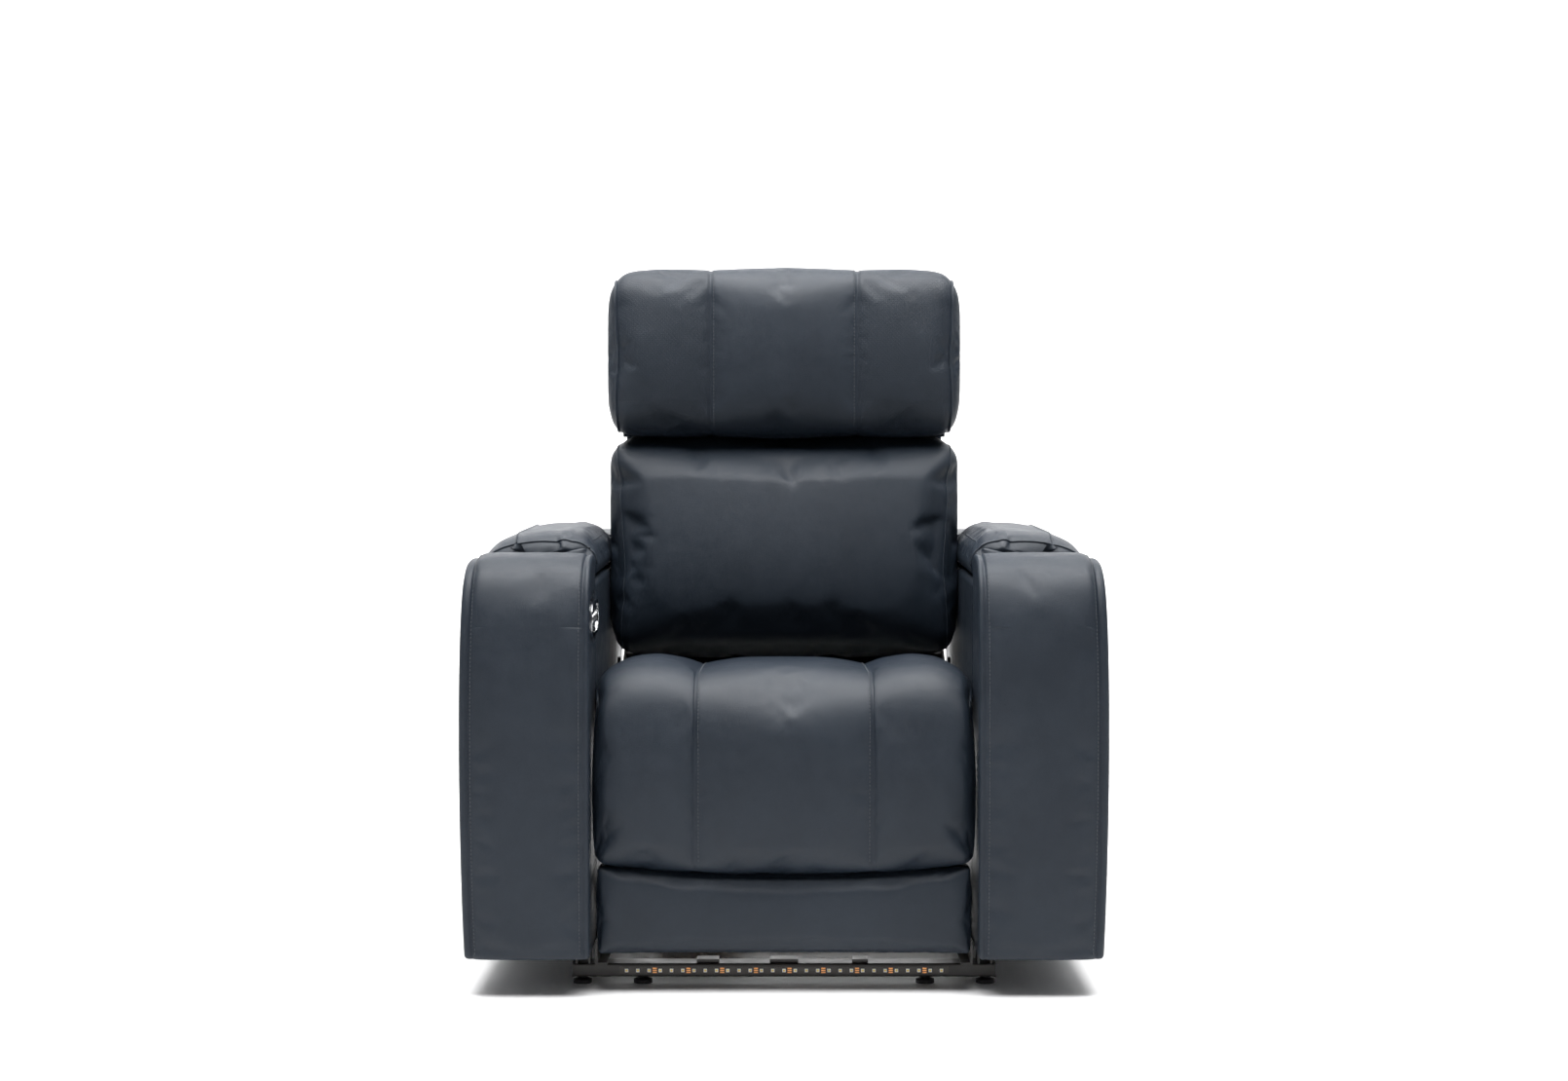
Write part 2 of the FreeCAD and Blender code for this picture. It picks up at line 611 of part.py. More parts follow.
def control_stadium(x0, x1, grow):
    """An oval block lying along the arm, standing across its inner face."""
    half = CONTROL_LENGTH / 2 + grow
    low, high = CONTROL_HEIGHT - CONTROL_WIDTH / 2 - grow, CONTROL_HEIGHT + CONTROL_WIDTH / 2 + grow
    corners = rectangle(CONTROL_DEPTH - half, CONTROL_DEPTH + half, low, high, (high - low) / 2 * 0.98)
    return side_plate(corners, x0, x1)


BUTTON_PLACES = [(-1.5, 0), (-0.5, 0), (0.5, 0), (1.5, 0)]
BUTTON_NAMES = ["button_recline", "button_upright", "button_head_forward", "button_head_back"]


def make_controls():
    face = -ARM_INNER
    ring = control_stadium(face - 10, face + 2.5, 0).cut(control_stadium(face - 11, face + 3, -5.0))
    plate = control_stadium(face - 10, face + 0.5, -5.0)
    holes = []
    for (step, rise), name in zip(BUTTON_PLACES, BUTTON_NAMES):
        depth, height = CONTROL_DEPTH - 12 + step * BUTTON_PITCH, CONTROL_HEIGHT + rise
        holes.append(rod((depth, height), BUTTON_RADIUS + 0.3, face - 6, face + 1))
        key = rod((depth, height), BUTTON_RADIUS, face - 6 + BUTTON_TRAVEL + 0.3, face + 2.6)
        rim = [e for e in key.Edges if e.BoundBox.XMin > face + 2.5 and len(e.Vertexes) == 1]
        key = key.makeFillet(0.9, rim)
        dish = Part.makeSphere(26.0, at(face + 2.6 + 25.3, depth, height))
        export(name, [key.cut(dish)])
    socket_depth = CONTROL_DEPTH + 52
    holes.append(box(face - 9, face + 1, socket_depth - 5.2, socket_depth + 5.2, CONTROL_HEIGHT - 7.4, CONTROL_HEIGHT + 7.4))
    socket = box(face - 9, face + 0.8, socket_depth - 5.2, socket_depth + 5.2, CONTROL_HEIGHT - 7.4, CONTROL_HEIGHT + 7.4)
    socket = socket.cut(box(face - 8, face + 1, socket_depth - 3.0, socket_depth + 3.0, CONTROL_HEIGHT - 6.2, CONTROL_HEIGHT + 6.2))
    tongue = box(face - 8.5, face - 1, socket_depth - 0.9, socket_depth + 0.9, CONTROL_HEIGHT - 5, CONTROL_HEIGHT + 5)
    export("control_bezel", [ring])
    export("control_plate", [plate.cut(Part.makeCompound(holes))])
    export("charging_socket", [socket.fuse(tongue)])


# Seat: side plates on rollers, cross rails, webbing and the cushion

SEAT_PLATE_TOP = SEAT_UNDERSIDE - WEBBING_THICKNESS - 0.3
RAIL_HEIGHT = 20.0
RAIL_WIDTH = 26.0
FRONT_RAIL_DEPTH = SWING_PIVOT[0] - 70.0


def seat_side_plate():
    """One steel side of the seat, cut to carry the rollers, both link pivots and the back hinge."""
    low = ROLLER_HEIGHT - 12.0
    top = SEAT_PLATE_TOP
    d_front, d_rear = FRONT_ROLLER_DEPTH, REAR_ROLLER_DEPTH
    corners = [(d_front - 18, low, 10), (HINGE_DEPTH + 18, low, 10), (HINGE_DEPTH + 26, HINGE_HEIGHT + 24, 20),
               (HINGE_DEPTH - 28, HINGE_HEIGHT + 24, 12), (SEAT_REAR - 8, top, 14), (FRONT_RAIL_DEPTH - 4, top, 8),
               (FRONT_RAIL_DEPTH + 10, top - 45, 12), (d_front - 18, low + 60, 12)]
    plate = side_plate(corners, SIDE_PLATE_X - STEEL, SIDE_PLATE_X)
    window = [(d_front + 25, low + 26, 14), (d_rear - 16, low + 26, 14), (HINGE_DEPTH - 40, HINGE_HEIGHT - 10, 14),
              (SEAT_REAR - 30, top - 34, 14), (DRIVER_PIVOT[0] + 40, top - 34, 14),
              (SWING_PIVOT[0] + 18, top - 96, 14)]
    plate = plate.cut(side_plate(window, SIDE_PLATE_X - STEEL - 1, SIDE_PLATE_X + 1))
    inner, outer = SIDE_PLATE_X - STEEL, SIDE_PLATE_X
    pins = []
    for point in (SWING_PIVOT, DRIVER_PIVOT):
        pins.append(rod(point, RIVET_RADIUS, LINK_X1 - LINK_PLATE - 0.6, inner))
        pins.append(rod(point, RIVET_RADIUS + 3, LINK_X1 + 0.3, inner))
    for depth in (d_front, d_rear):
        pins.append(rod((depth, ROLLER_HEIGHT), 5.0, outer, TRACK_WEB_INSIDE - 0.5))
        pins.append(rod((depth, ROLLER_HEIGHT), 8.0, outer, TRACK_INNER + 0.7))
    pins.append(rod(HINGE, HINGE_PIN_RADIUS, outer, BACK_PLATE_X + 1.5))
    return fuse([plate] + pins)


def seat_rails():
    """The tubes that join the two seat sides and carry the webbing."""
    half = SIDE_PLATE_X - STEEL
    top = SEAT_PLATE_TOP
    front = box(-half, half, FRONT_RAIL_DEPTH, FRONT_RAIL_DEPTH + RAIL_WIDTH, top - RAIL_HEIGHT, top)
    rear = box(-half, half, SEAT_REAR - 45, SEAT_REAR - 19, top - RAIL_HEIGHT, top)
    low = box(-half, half, HINGE_DEPTH - 50, HINGE_DEPTH - 24, ROLLER_HEIGHT + 20, ROLLER_HEIGHT + 40)
    return [front, rear, low]


def seat_webbing():
    """Elastic straps woven both ways over the seat rails."""
    top = SEAT_PLATE_TOP
    front, rear = FRONT_RAIL_DEPTH, SEAT_REAR - 19
    straps = []
    for i in range(5):
        x = (i - 2) * 96.0
        straps.append(box(x - 30, x + 30, front, rear, top, top + WEBBING_THICKNESS / 2))
    for i in range(3):
        depth = front + 52 + i * 80.0
        straps.append(box(-SIDE_PLATE_X + STEEL, SIDE_PLATE_X - STEEL, depth - 25, depth + 25,
                          top + WEBBING_THICKNESS / 2, top + WEBBING_THICKNESS))
    return fuse(straps)


def seat_crown(x):
    """How far the seat's top stands over its middle line: side lobes, sunk seams, dropped edges."""
    across = abs(x)
    if across <= SEAM_X:
        return 3.0 * math.cos(math.pi * across / SEAM_X / 2) - 3.0 - SEAM_SINK * (across / SEAM_X) ** 12
    share = (across - SEAM_X) / (SEAT_HALF - SEAM_X)
    return LOBE_RISE * math.sin(math.pi * share) ** 0.8 - SEAM_SINK * (1 - share) ** 12 - 3.0 - EDGE_DROP * share ** 6


def seat_section(x):
    """One side-view section of the seat cushion: top, front roll and the cut towards the footrest."""
    rise = seat_crown(x)
    draw = 10.0 * max(0.0, (abs(x) - SEAT_HALF + 14) / 14) ** 2
    top = SEAT_TOP + rise
    gap = SOFT_GAP
    roll_start = (SEAT_FRONT + ROLL_RADIUS, top)
    cut = (PIVOT[0] + gap + draw * 0.5, PIVOT[1] + gap + rise * 0.7 - draw * 0.4)
    middle = ((roll_start[0] + cut[0]) / 2 - 9, (roll_start[1] + cut[1]) / 2 + 9.5)
    low = (PIVOT[0] + SEAT_TOP - SEAT_UNDERSIDE - 26 + draw, SEAT_UNDERSIDE + draw * 0.3)
    rear_low = (SEAT_REAR - draw, SEAT_UNDERSIDE + draw * 0.3)
    rear_top = (SEAT_REAR - draw, SEAT_TOP - SEAT_FALL + rise - 8)
    rear_round = (SEAT_REAR - 16 - draw, SEAT_TOP - SEAT_FALL + rise + 1)
    pts = [at(x, *p) for p in (low, rear_low, rear_top, rear_round, roll_start, cut)]
    corner = at(x, SEAT_REAR - 5 - draw, SEAT_TOP - SEAT_FALL + rise - 2.5)
    sag = at(x, (rear_round[0] + roll_start[0]) / 2, (rear_round[1] + roll_start[1]) / 2 + 2)
    return Part.Wire([
        Part.LineSegment(pts[0], pts[1]).toShape(),
        Part.LineSegment(pts[1], pts[2]).toShape(),
        Part.Arc(pts[2], corner, pts[3]).toShape(),
        Part.Arc(pts[3], sag, pts[4]).toShape(),
        Part.Arc(pts[4], at(x, *middle), pts[5]).toShape(),
        Part.LineSegment(pts[5], pts[0]).toShape(),
    ])


def lobe_stations(half, seam):
    """Places across a cushion that follow its crown: dense at the seams and at the rolled edges."""
    side = [0, seam * 0.6, seam - 9, seam, seam + 9, (seam + half) / 2, half - 24, half - 8, half]
    return sorted({-s for s in side} | set(side))


def seat_cushion():
    return Part.makeLoft([seat_section(x) for x in lobe_stations(SEAT_HALF, SEAM_X)], True, True)


def foot_section(x):
    """One side-view section of the footrest pad below the roll, bowed out in front."""
    share = abs(x) / SEAT_HALF
    draw = 9.0 * max(0.0, (abs(x) - SEAT_HALF + 14) / 14) ** 2
    sink = SEAM_SINK * math.exp(-((abs(x) - SEAM_X) / 7.0) ** 2)
    low = FOOT_PAD_BOTTOM - 13.0 * (1 - share ** 2)
    front = SEAT_FRONT + sink + draw
    rise = seat_crown(x)
    top = (PIVOT[0] - 0.5 + draw * 0.5, PIVOT[1] - 1.0 + rise * 0.7 - draw * 0.4)
    roll_end = (front + 2, SEAT_TOP - ROLL_RADIUS)
    roll_mid = (front + 7.5, (top[1] + roll_end[1]) / 2 + 3)
    rear = SEAT_FRONT + FOOT_PAD_THICKNESS
    rear_top = (rear, PIVOT[1] - (rear - PIVOT[0]) - 3.0)
    pts = [at(x, *p) for p in (top, roll_end, (front + 3, low + 22), (front + 20, low), (rear, low + 2), rear_top)]
    return Part.Wire([
        Part.Arc(pts[0], at(x, *roll_mid), pts[1]).toShape(),
        Part.Arc(pts[1], at(x, front - 5, (low + 22 + SEAT_TOP - ROLL_RADIUS) / 2), pts[2]).toShape(),
        Part.Arc(pts[2], at(x, front + 7, low + 6), pts[3]).toShape(),
        Part.LineSegment(pts[3], pts[4]).toShape(),
        Part.LineSegment(pts[4], pts[5]).toShape(),
        Part.LineSegment(pts[5], pts[0]).toShape(),
    ])


def foot_pad():
    return Part.makeLoft([foot_section(x) for x in lobe_stations(SEAT_HALF, SEAM_X)], True, True)


FOOT_BOARD_FRONT = SEAT_FRONT + FOOT_PAD_THICKNESS + 0.3


BOARD_TOP = PIVOT[1] - (FOOT_BOARD_FRONT + FOOT_BOARD_THICKNESS - PIVOT[0]) - 10.0


def foot_board():
    """The plywood board behind both footrest pads, with its corners eased."""
    outline = rectangle(-SEAT_HALF + 12, SEAT_HALF - 12, FOOT_PANEL_BOTTOM + 12, BOARD_TOP, 14)
    return front_prism(outline, FOOT_BOARD_FRONT, FOOT_BOARD_FRONT + FOOT_BOARD_THICKNESS)


def foot_panel():
    """The plain leather panel below the pad, its top following the pad's curved lower edge."""
    half = SEAT_HALF - 3
    top_side, top_mid = FOOT_PAD_BOTTOM - 1.5, FOOT_PAD_BOTTOM - 14.5
    d0 = SEAT_FRONT + 10.0
    d1 = FOOT_BOARD_FRONT - 0.3
    low = FOOT_PANEL_BOTTOM
    wire = Part.Wire([
        Part.LineSegment(at(-half, d0, low), at(half, d0, low)).toShape(),
        Part.LineSegment(at(half, d0, low), at(half, d0, top_side)).toShape(),
        Part.Arc(at(half, d0, top_side), at(0, d0, top_mid), at(-half, d0, top_side)).toShape(),
        Part.LineSegment(at(-half, d0, top_side), at(-half, d0, low)).toShape(),
    ])
    panel = Part.Face(wire).extrude(V(0, d1 - d0, 0))
    trim = box(-half - 1, half + 1, d0 + FOOT_PANEL_THICKNESS, d1 + 1, low - 1, low + 12)
    panel = panel.cut(trim)
    rim = [e for e in panel.Edges if e.BoundBox.YMax < Y_FRONT + d0 + 0.5]
    return panel.makeFillet(6.0, rim)


def foot_brackets():
    """The steel brackets on the back of the board that the four links hold."""
    x0, x1 = LINK_X3 - LINK_PLATE, LINK_X3
    rear = FOOT_BOARD_FRONT + FOOT_BOARD_THICKNESS
    half = LINK_WIDTH / 2
    corners = [(rear, BRACKET_HIGH[1] + 40, 0), (rear, BRACKET_LOW[1] - 40, 0), (rear + 10, BRACKET_LOW[1] - 40, 8),
               (BRACKET_LOW[0] + half, BRACKET_LOW[1] - half, 10), (BRACKET_HIGH[0] + half, BRACKET_HIGH[1] + half, 10),
               (rear + 10, BRACKET_HIGH[1] + 40, 8)]
    plate = side_plate(corners, x0, x1)
    flange = box(x0 - 24, x1, rear, rear + STEEL, BRACKET_LOW[1] - 40, BRACKET_HIGH[1] + 40)
    pins = [rod(p, RIVET_RADIUS, x1, LINK_X2 + 0.6) for p in (BRACKET_HIGH, BRACKET_LOW)]
    return fuse([plate, flange] + pins)


def swing_link():
    """The long bent link from the seat side to the foot of the linkage, with its two outer rivets."""
    bar = link_bar([SWING_PIVOT, SWING_KNEE, SWING_END], LINK_WIDTH, LINK_X1 - LINK_PLATE, LINK_X1, 0)
    bar = bar.cut(rod(SWING_PIVOT, RIVET_RADIUS + RUNNING, LINK_X1 - 9, LINK_X1 + 9))
    pins = [rod(p, RIVET_RADIUS, LINK_X2 - LINK_PLATE - 0.6, LINK_X1 - LINK_PLATE) for p in (SWING_KNEE, SWING_END)]
    return fuse([bar] + pins)


def driver_link():
    """The short link that the torque tube turns, with the rivet of the upper link."""
    bar = link_bar([DRIVER_PIVOT, DRIVER_END], LINK_WIDTH, LINK_X1 - LINK_PLATE, LINK_X1, 0)
    bar = bar.cut(rod(DRIVER_PIVOT, RIVET_RADIUS + RUNNING, LINK_X1 - 9, LINK_X1 + 9))
    rivet = rod(DRIVER_END, RIVET_RADIUS, LINK_X2 - LINK_PLATE - 0.6, LINK_X1 - LINK_PLATE)
    return fuse([bar, rivet])


def upper_link():
    return link_bar([DRIVER_END, SWING_KNEE, BRACKET_HIGH], LINK_WIDTH, LINK_X2 - LINK_PLATE, LINK_X2,
                    RIVET_RADIUS + RUNNING)


def lower_link():
    return link_bar([SWING_END, BRACKET_LOW], LINK_WIDTH, LINK_X2 - LINK_PLATE, LINK_X2, RIVET_RADIUS + RUNNING)


HALF_OPEN = math.radians(FOOTREST_OPEN / 2)
CRANK_PIN = (DRIVER_PIVOT[0] + CRANK_RADIUS * math.sin(HALF_OPEN), DRIVER_PIVOT[1] - CRANK_RADIUS * math.cos(HALF_OPEN))
FOOT_RAIL_HEIGHT = DRIVER_PIVOT[1] - CRANK_RADIUS - 52.0


def torque_tube():
    """The tube across the seat that both driver links stand on, with the crank in its middle."""
    end = LINK_X1 - LINK_PLATE - 1.0
    tube = rod(DRIVER_PIVOT, TORQUE_TUBE_RADIUS, -end, end)
    spindle = rod(DRIVER_PIVOT, RIVET_RADIUS + 0.7, -end - 2, end + 2)
    cheeks = [link_bar([DRIVER_PIVOT, CRANK_PIN], 22.0, side * 16.0, side * 20.0, 0) for side in (-1, 1)]
    pin = rod(CRANK_PIN, RIVET_RADIUS, -16.5, 16.5)
    return fuse([tube.cut(spindle)] + cheeks + [pin])


def foot_nut():
    """The driven block under the crank, with the upright slot that takes the crank pin."""
    nut = drive_nut(0, CRANK_PIN[0], FOOT_RAIL_HEIGHT)
    reach = RIVET_RADIUS + SLOT_GAP
    low, high = DRIVER_PIVOT[1] - CRANK_RADIUS, CRANK_PIN[1]
    neck = box(-12, 12, CRANK_PIN[0] - 15, CRANK_PIN[0] + 15, FOOT_RAIL_HEIGHT + 29, high + reach + 5)
    slot = side_plate(rectangle(CRANK_PIN[0] - reach, CRANK_PIN[0] + reach, low - reach, high + reach, reach * 0.98),
                      -13, 13)
    return nut.fuse(neck).removeSplitter().cut(slot)


def recline_nut():
    """The driven block of the recline drive and the post that carries it to the seat's low rail."""
    nut = drive_nut(0, RECLINE_NUT_DEPTH, RECLINE_RAIL_HEIGHT)
    post = box(-11, 11, HINGE_DEPTH - 40, RECLINE_NUT_DEPTH + 10, ROLLER_HEIGHT + 12, ROLLER_HEIGHT + 20)
    return nut.fuse(post).removeSplitter()


def roller(depth):
    """A nylon roller with a crowned hub bore."""
    wheel = rod((depth, ROLLER_HEIGHT), ROLLER_RADIUS, TRACK_INNER + 1.4, TRACK_INNER + 1.4 + ROLLER_WIDTH)
    rims = [e for e in wheel.Edges if e.Closed]
    wheel = wheel.makeFillet(1.5, rims)
    return wheel.cut(rod((depth, ROLLER_HEIGHT), 5.0 + RUNNING, TRACK_INNER, TRACK_OUTER))


def make_seat():
    export("seat_side_plates", both_sides(seat_side_plate()))
    export("seat_rails", seat_rails())
    export("seat_webbing", [seat_webbing()])
    export("seat_cushion", [seat_cushion()])
    rail_front, rail_rear = DRIVER_PIVOT[0] - 78, DRIVER_PIVOT[0] + 100
    rail, motor = linear_drive(0, rail_front, rail_rear, FOOT_RAIL_HEIGHT)
    hanger = box(-8, 8, rail_rear + 54, SEAT_REAR - 22, FOOT_RAIL_HEIGHT + 30, SEAT_PLATE_TOP - RAIL_HEIGHT)
    front_hanger = fuse([box(-30, -22, rail_front - 4, rail_front + 14, FOOT_RAIL_HEIGHT + 4, SEAT_PLATE_TOP - RAIL_HEIGHT),
                         box(-30, 17, rail_front - 4, rail_front, FOOT_RAIL_HEIGHT, FOOT_RAIL_HEIGHT + 20),
                         box(-30, -22, FRONT_RAIL_DEPTH + RAIL_WIDTH, rail_front + 14, SEAT_PLATE_TOP - RAIL_HEIGHT - 4, SEAT_PLATE_TOP - RAIL_HEIGHT)])
    export("footrest_rail", [fuse([rail, front_hanger])])
    export("footrest_motor", [motor.fuse(hanger)])
    export("recline_nut", [recline_nut()])
    export("front_rollers", both_sides(roller(FRONT_ROLLER_DEPTH)))
    export("rear_rollers", both_sides(roller(REAR_ROLLER_DEPTH)))


def make_footrest():
    export("footrest_pad", [foot_pad()])
    export("footrest_panel", [foot_panel()])
    export("footrest_board", [foot_board()])
    export("footrest_brackets", both_sides(foot_brackets()))
    export("swing_links", both_sides(swing_link()))
    export("driver_links", both_sides(driver_link()))
    export("torque_tube", [torque_tube()])
    export("upper_links", both_sides(upper_link()))
    export("lower_links", both_sides(lower_link()))
    export("footrest_nut", [foot_nut()])


# Back: steel frame with hinge plates, lumbar cushion, outer shell

def leaned(shape):
    """Tip a piece drawn upright over the hinge back to the chair's resting lean."""
    turned = shape.copy()
    turned.rotate(at(0, *HINGE), V(1, 0, 0), -BACK_LEAN)
    return turned


def lean_point(offset, rise):
    """Where an upright point at this offset behind and rise over the hinge comes to lie."""
    lean = math.radians(BACK_LEAN)
    return (HINGE_DEPTH + offset * math.cos(lean) + rise * math.sin(lean),
            HINGE_HEIGHT + rise * math.cos(lean) - offset * math.sin(lean))


FRAME_TOP = (BACK_TOP - 38.0 - HINGE_HEIGHT) / math.cos(math.radians(BACK_LEAN))
FRAME_BOTTOM = 60.0


def back_frame():
    """Two tube stiles joined by rails, standing in the back."""
    d0 = HINGE_DEPTH - FRAME_SET - FRAME_TUBE / 2
    d1 = d0 + FRAME_TUBE
    low, high = HINGE_HEIGHT + FRAME_BOTTOM, HINGE_HEIGHT + FRAME_TOP
    inner = FRAME_HALF - FRAME_TUBE
    pieces = []
    for side in (-1, 1):
        pieces.append(box(side * inner, side * FRAME_HALF, d0, d1, low, high))
    for rise in (low, low + 150, low + 330, high - FRAME_TUBE):
        pieces.append(box(-inner, inner, d0, d1, rise, rise + FRAME_TUBE * 0.8))
    return leaned(fuse(pieces))


def back_plate():
    """The hinge plate on one side of the back: round the hinge pin, up the stile, out to the lever pin."""
    x0, x1 = BACK_PLATE_X - LINK_PLATE, BACK_PLATE_X
    stile = lean_point(-FRAME_SET, FRAME_BOTTOM + 110)
    low_stile = lean_point(-FRAME_SET, FRAME_BOTTOM + 2)
    plate = link_bar([HINGE, low_stile, stile, LEVER_PIN, HINGE], 28.0, x0, x1, 0)
    lever_pin = rod(LEVER_PIN, LEVER_PIN_RADIUS, x1, SLOT_PLATE_X + LINK_PLATE + 1.0)
    spacer = []
    for point in (stile, low_stile):
        spacer.append(rod(point, 9.0, FRAME_HALF, x0))
    plate = fuse([plate, lever_pin] + spacer)
    return plate.cut(rod(HINGE, HINGE_PIN_RADIUS + RUNNING, x0 - 1, x1 + 3))


def cushion_ring(height, half, front, rear, crown, corner):
    """One level section of a back cushion: flat behind, rounded corners, bowed sides and front."""
    side_bow = 3.0
    c = corner

    def p(x, depth):
        return at(x, depth, height)

    k = 0.29
    right = [
        Part.LineSegment(p(-half + 8, rear), p(half - 8, rear)).toShape(),
        Part.Arc(p(half - 8, rear), p(half - 2.4, rear - 2.4), p(half - side_bow, rear - 8)).toShape(),
        Part.Arc(p(half - side_bow, rear - 8), p(half, (rear + front + c) / 2), p(half - side_bow, front + c)).toShape(),
        Part.Arc(p(half - side_bow, front + c), p(half - c * k - side_bow * k, front + c * k), p(half - c, front)).toShape(),
        Part.Arc(p(half - c, front), p(0, front - crown), p(-half + c, front)).toShape(),
        Part.Arc(p(-half + c, front), p(-half + c * k + side_bow * k, front + c * k), p(-half + side_bow, front + c)).toShape(),
        Part.Arc(p(-half + side_bow, front + c), p(-half, (rear + front + c) / 2), p(-half + side_bow, rear - 8)).toShape(),
        Part.Arc(p(-half + side_bow, rear - 8), p(-half + 2.4, rear - 2.4), p(-half + 8, rear)).toShape(),
    ]
    return Part.Wire(right)


def frame_face(height):
    """Depth of the back frame's front face at a height, less the soft gap."""
    lean = math.radians(BACK_LEAN)
    offset = -FRAME_SET - FRAME_TUBE / 2
    rise = (height - HINGE_HEIGHT + offset * math.sin(lean)) / math.cos(lean)
    return lean_point(offset, rise)[0] - SOFT_GAP


def back_cushion():
    """The lumbar cushion: fullest in front at mid height, narrow between the arms, wide above them."""
    low, top = BACK_CUSHION_BOTTOM, BACK_CUSHION_TOP
    tall = top - low
    rings = []
    for share, half, forward, crown, corner, drawn in (
            (0.0, BACK_WAIST - 12, 62, 6, 30, 0), (0.05, BACK_WAIST - 2, 44, 10, 34, 0),
            (0.3, BACK_WAIST, 12, 18, 38, 0), (0.52, BACK_WAIST, 2, 22, 38, 0), (0.7, BACK_HALF - 1, 8, 22, 40, 0),
            (0.85, BACK_HALF, 16, 20, 40, 0), (0.96, BACK_HALF - 3, 34, 12, 40, 8),
            (1.0, BACK_HALF - 14, 56, 6, 36, 26)):
        height = low + share * tall
        rings.append(cushion_ring(height, half, BACK_FRONT + forward + crown * 0.5, frame_face(height) - drawn, crown, corner))
    return Part.makeLoft(rings, True, False)


SHELL_TOP = FRAME_TOP + SHELL_WALL + 7.0
SHELL_BOTTOM = 66.0
HOUSING_FRONT = HEADREST_FRONT + HEADREST_THICKNESS + 17.0


def head_housing():
    """The sides and top that close the space between the headrest and the outer back."""
    start = HOUSING_FRONT
    low = BACK_CUSHION_TOP + 4.0
    seam_offset = -FRAME_SET + FRAME_TUBE / 2 + 1.0
    low_rise = (low - HINGE_HEIGHT) / math.cos(math.radians(BACK_LEAN))
    foot = lean_point(seam_offset + 0.5, low_rise)
    head = lean_point(seam_offset + 0.5, SHELL_TOP)
    front_top = (start, head[1] + 6.0)
    outline = [(start, low, 10), (foot[0], low, 0), (head[0], head[1], 0), (front_top[0], front_top[1], 26)]
    whole = side_plate(outline, -SHELL_HALF, SHELL_HALF)
    wall = SHELL_WALL
    inside = [(start - 5, low - 5, 0), (foot[0] + 5, low - 5, 0), (head[0] + 5, head[1] - wall, 0),
              (start - 5, front_top[1] - wall, 0)]
    return whole.cut(side_plate(inside, -SHELL_HALF + wall, SHELL_HALF - wall))


def back_shell():
    """The upholstered outer back: a shallow tray round the frame, crowned behind and rounded on top."""
    front, rear = -FRAME_SET + FRAME_TUBE / 2 + 1.0, SHELL_REACH
    low, high = SHELL_BOTTOM, SHELL_TOP
    outline = [(-SHELL_HALF, HINGE_HEIGHT + low, 18), (SHELL_HALF, HINGE_HEIGHT + low, 18),
               (SHELL_HALF, HINGE_HEIGHT + high, 42), (-SHELL_HALF, HINGE_HEIGHT + high, 42)]
    block = front_prism(outline, HINGE_DEPTH + front, HINGE_DEPTH + rear + 30)
    side = [(HINGE_DEPTH + front, HINGE_HEIGHT + low, 0), (HINGE_DEPTH + rear - 34, HINGE_HEIGHT + low, 24),
            (HINGE_DEPTH + rear - 6, HINGE_HEIGHT + low + 150, 200), (HINGE_DEPTH + rear, HINGE_HEIGHT + high * 0.6, 300),
            (HINGE_DEPTH + rear, HINGE_HEIGHT + high - 20, 60), (HINGE_DEPTH + rear - 52, HINGE_HEIGHT + high, 50),
            (HINGE_DEPTH + front, HINGE_HEIGHT + high, 0)]
    body = side_plate(side, -SHELL_HALF - 1, SHELL_HALF + 1).common(block)
    wall = SHELL_WALL
    hollow = box(-SHELL_HALF + wall, SHELL_HALF - wall, HINGE_DEPTH + front - 1, HINGE_DEPTH + rear - 44,
                 HINGE_HEIGHT + low + wall, HINGE_HEIGHT + high - wall)
    tray = leaned(body.cut(hollow))
    return fuse([tray, head_housing()])


# Headrest: cushion, board with two curved-slot sectors, guide pins on the back, drive

def headrest_section(x):
    """One side-view section of the headrest: front face, big top round, flat rear, round underside."""
    across = abs(x)
    draw = 26.0 * max(0.0, (across - HEADREST_HALF + 36) / 36) ** 2.4
    sink = SEAM_SINK * math.exp(-((across - HEADREST_SEAM_X) / 7.0) ** 2)
    top = HEADREST_TOP - 0.55 * draw - 2.0 * (across / HEADREST_HALF) ** 2 - 0.6 * sink
    low = HEADREST_BOTTOM + 0.5 * draw
    front = HEADREST_FRONT + sink + 0.9 * draw
    rear = HEADREST_FRONT + HEADREST_THICKNESS - 0.6 * draw
    c = HEADREST_ROUND
    pts = [at(x, *p) for p in ((front, low + c), (front + 6, top - 48), (front + 52, top), (rear - 14, top - 5),
                               (rear, top - 24), (rear, low + 22), (rear - 20, low), (front + c, low))]
    k = 0.293
    return Part.Wire([
        Part.Arc(pts[0], at(x, front - 5, (low + top) / 2), pts[1]).toShape(),
        Part.Arc(pts[1], at(x, front + 17, top - 12), pts[2]).toShape(),
        Part.LineSegment(pts[2], pts[3]).toShape(),
        Part.Arc(pts[3], at(x, rear - 3.6, top - 12), pts[4]).toShape(),
        Part.LineSegment(pts[4], pts[5]).toShape(),
        Part.Arc(pts[5], at(x, rear - 5, low + 6), pts[6]).toShape(),
        Part.LineSegment(pts[6], pts[7]).toShape(),
        Part.Arc(pts[7], at(x, front + c * k, low + c * k), pts[0]).toShape(),
    ])


def headrest_cushion():
    return Part.makeLoft([headrest_section(x) for x in lobe_stations(HEADREST_HALF, HEADREST_SEAM_X)], True, True)


def around(centre, radius, degrees):
    """The side-view point at this angle over the rearward direction."""
    angle = math.radians(degrees)
    return (centre[0] + radius * math.cos(angle), centre[1] + radius * math.sin(angle))


PIN_LOW, PIN_HIGH = 26.0, 44.0
GUIDE_PIN_RADIUS = 5.0
BOARD_DEPTH = HEADREST_FRONT + HEADREST_THICKNESS + 0.3
HEADREST_BOARD = 10.0


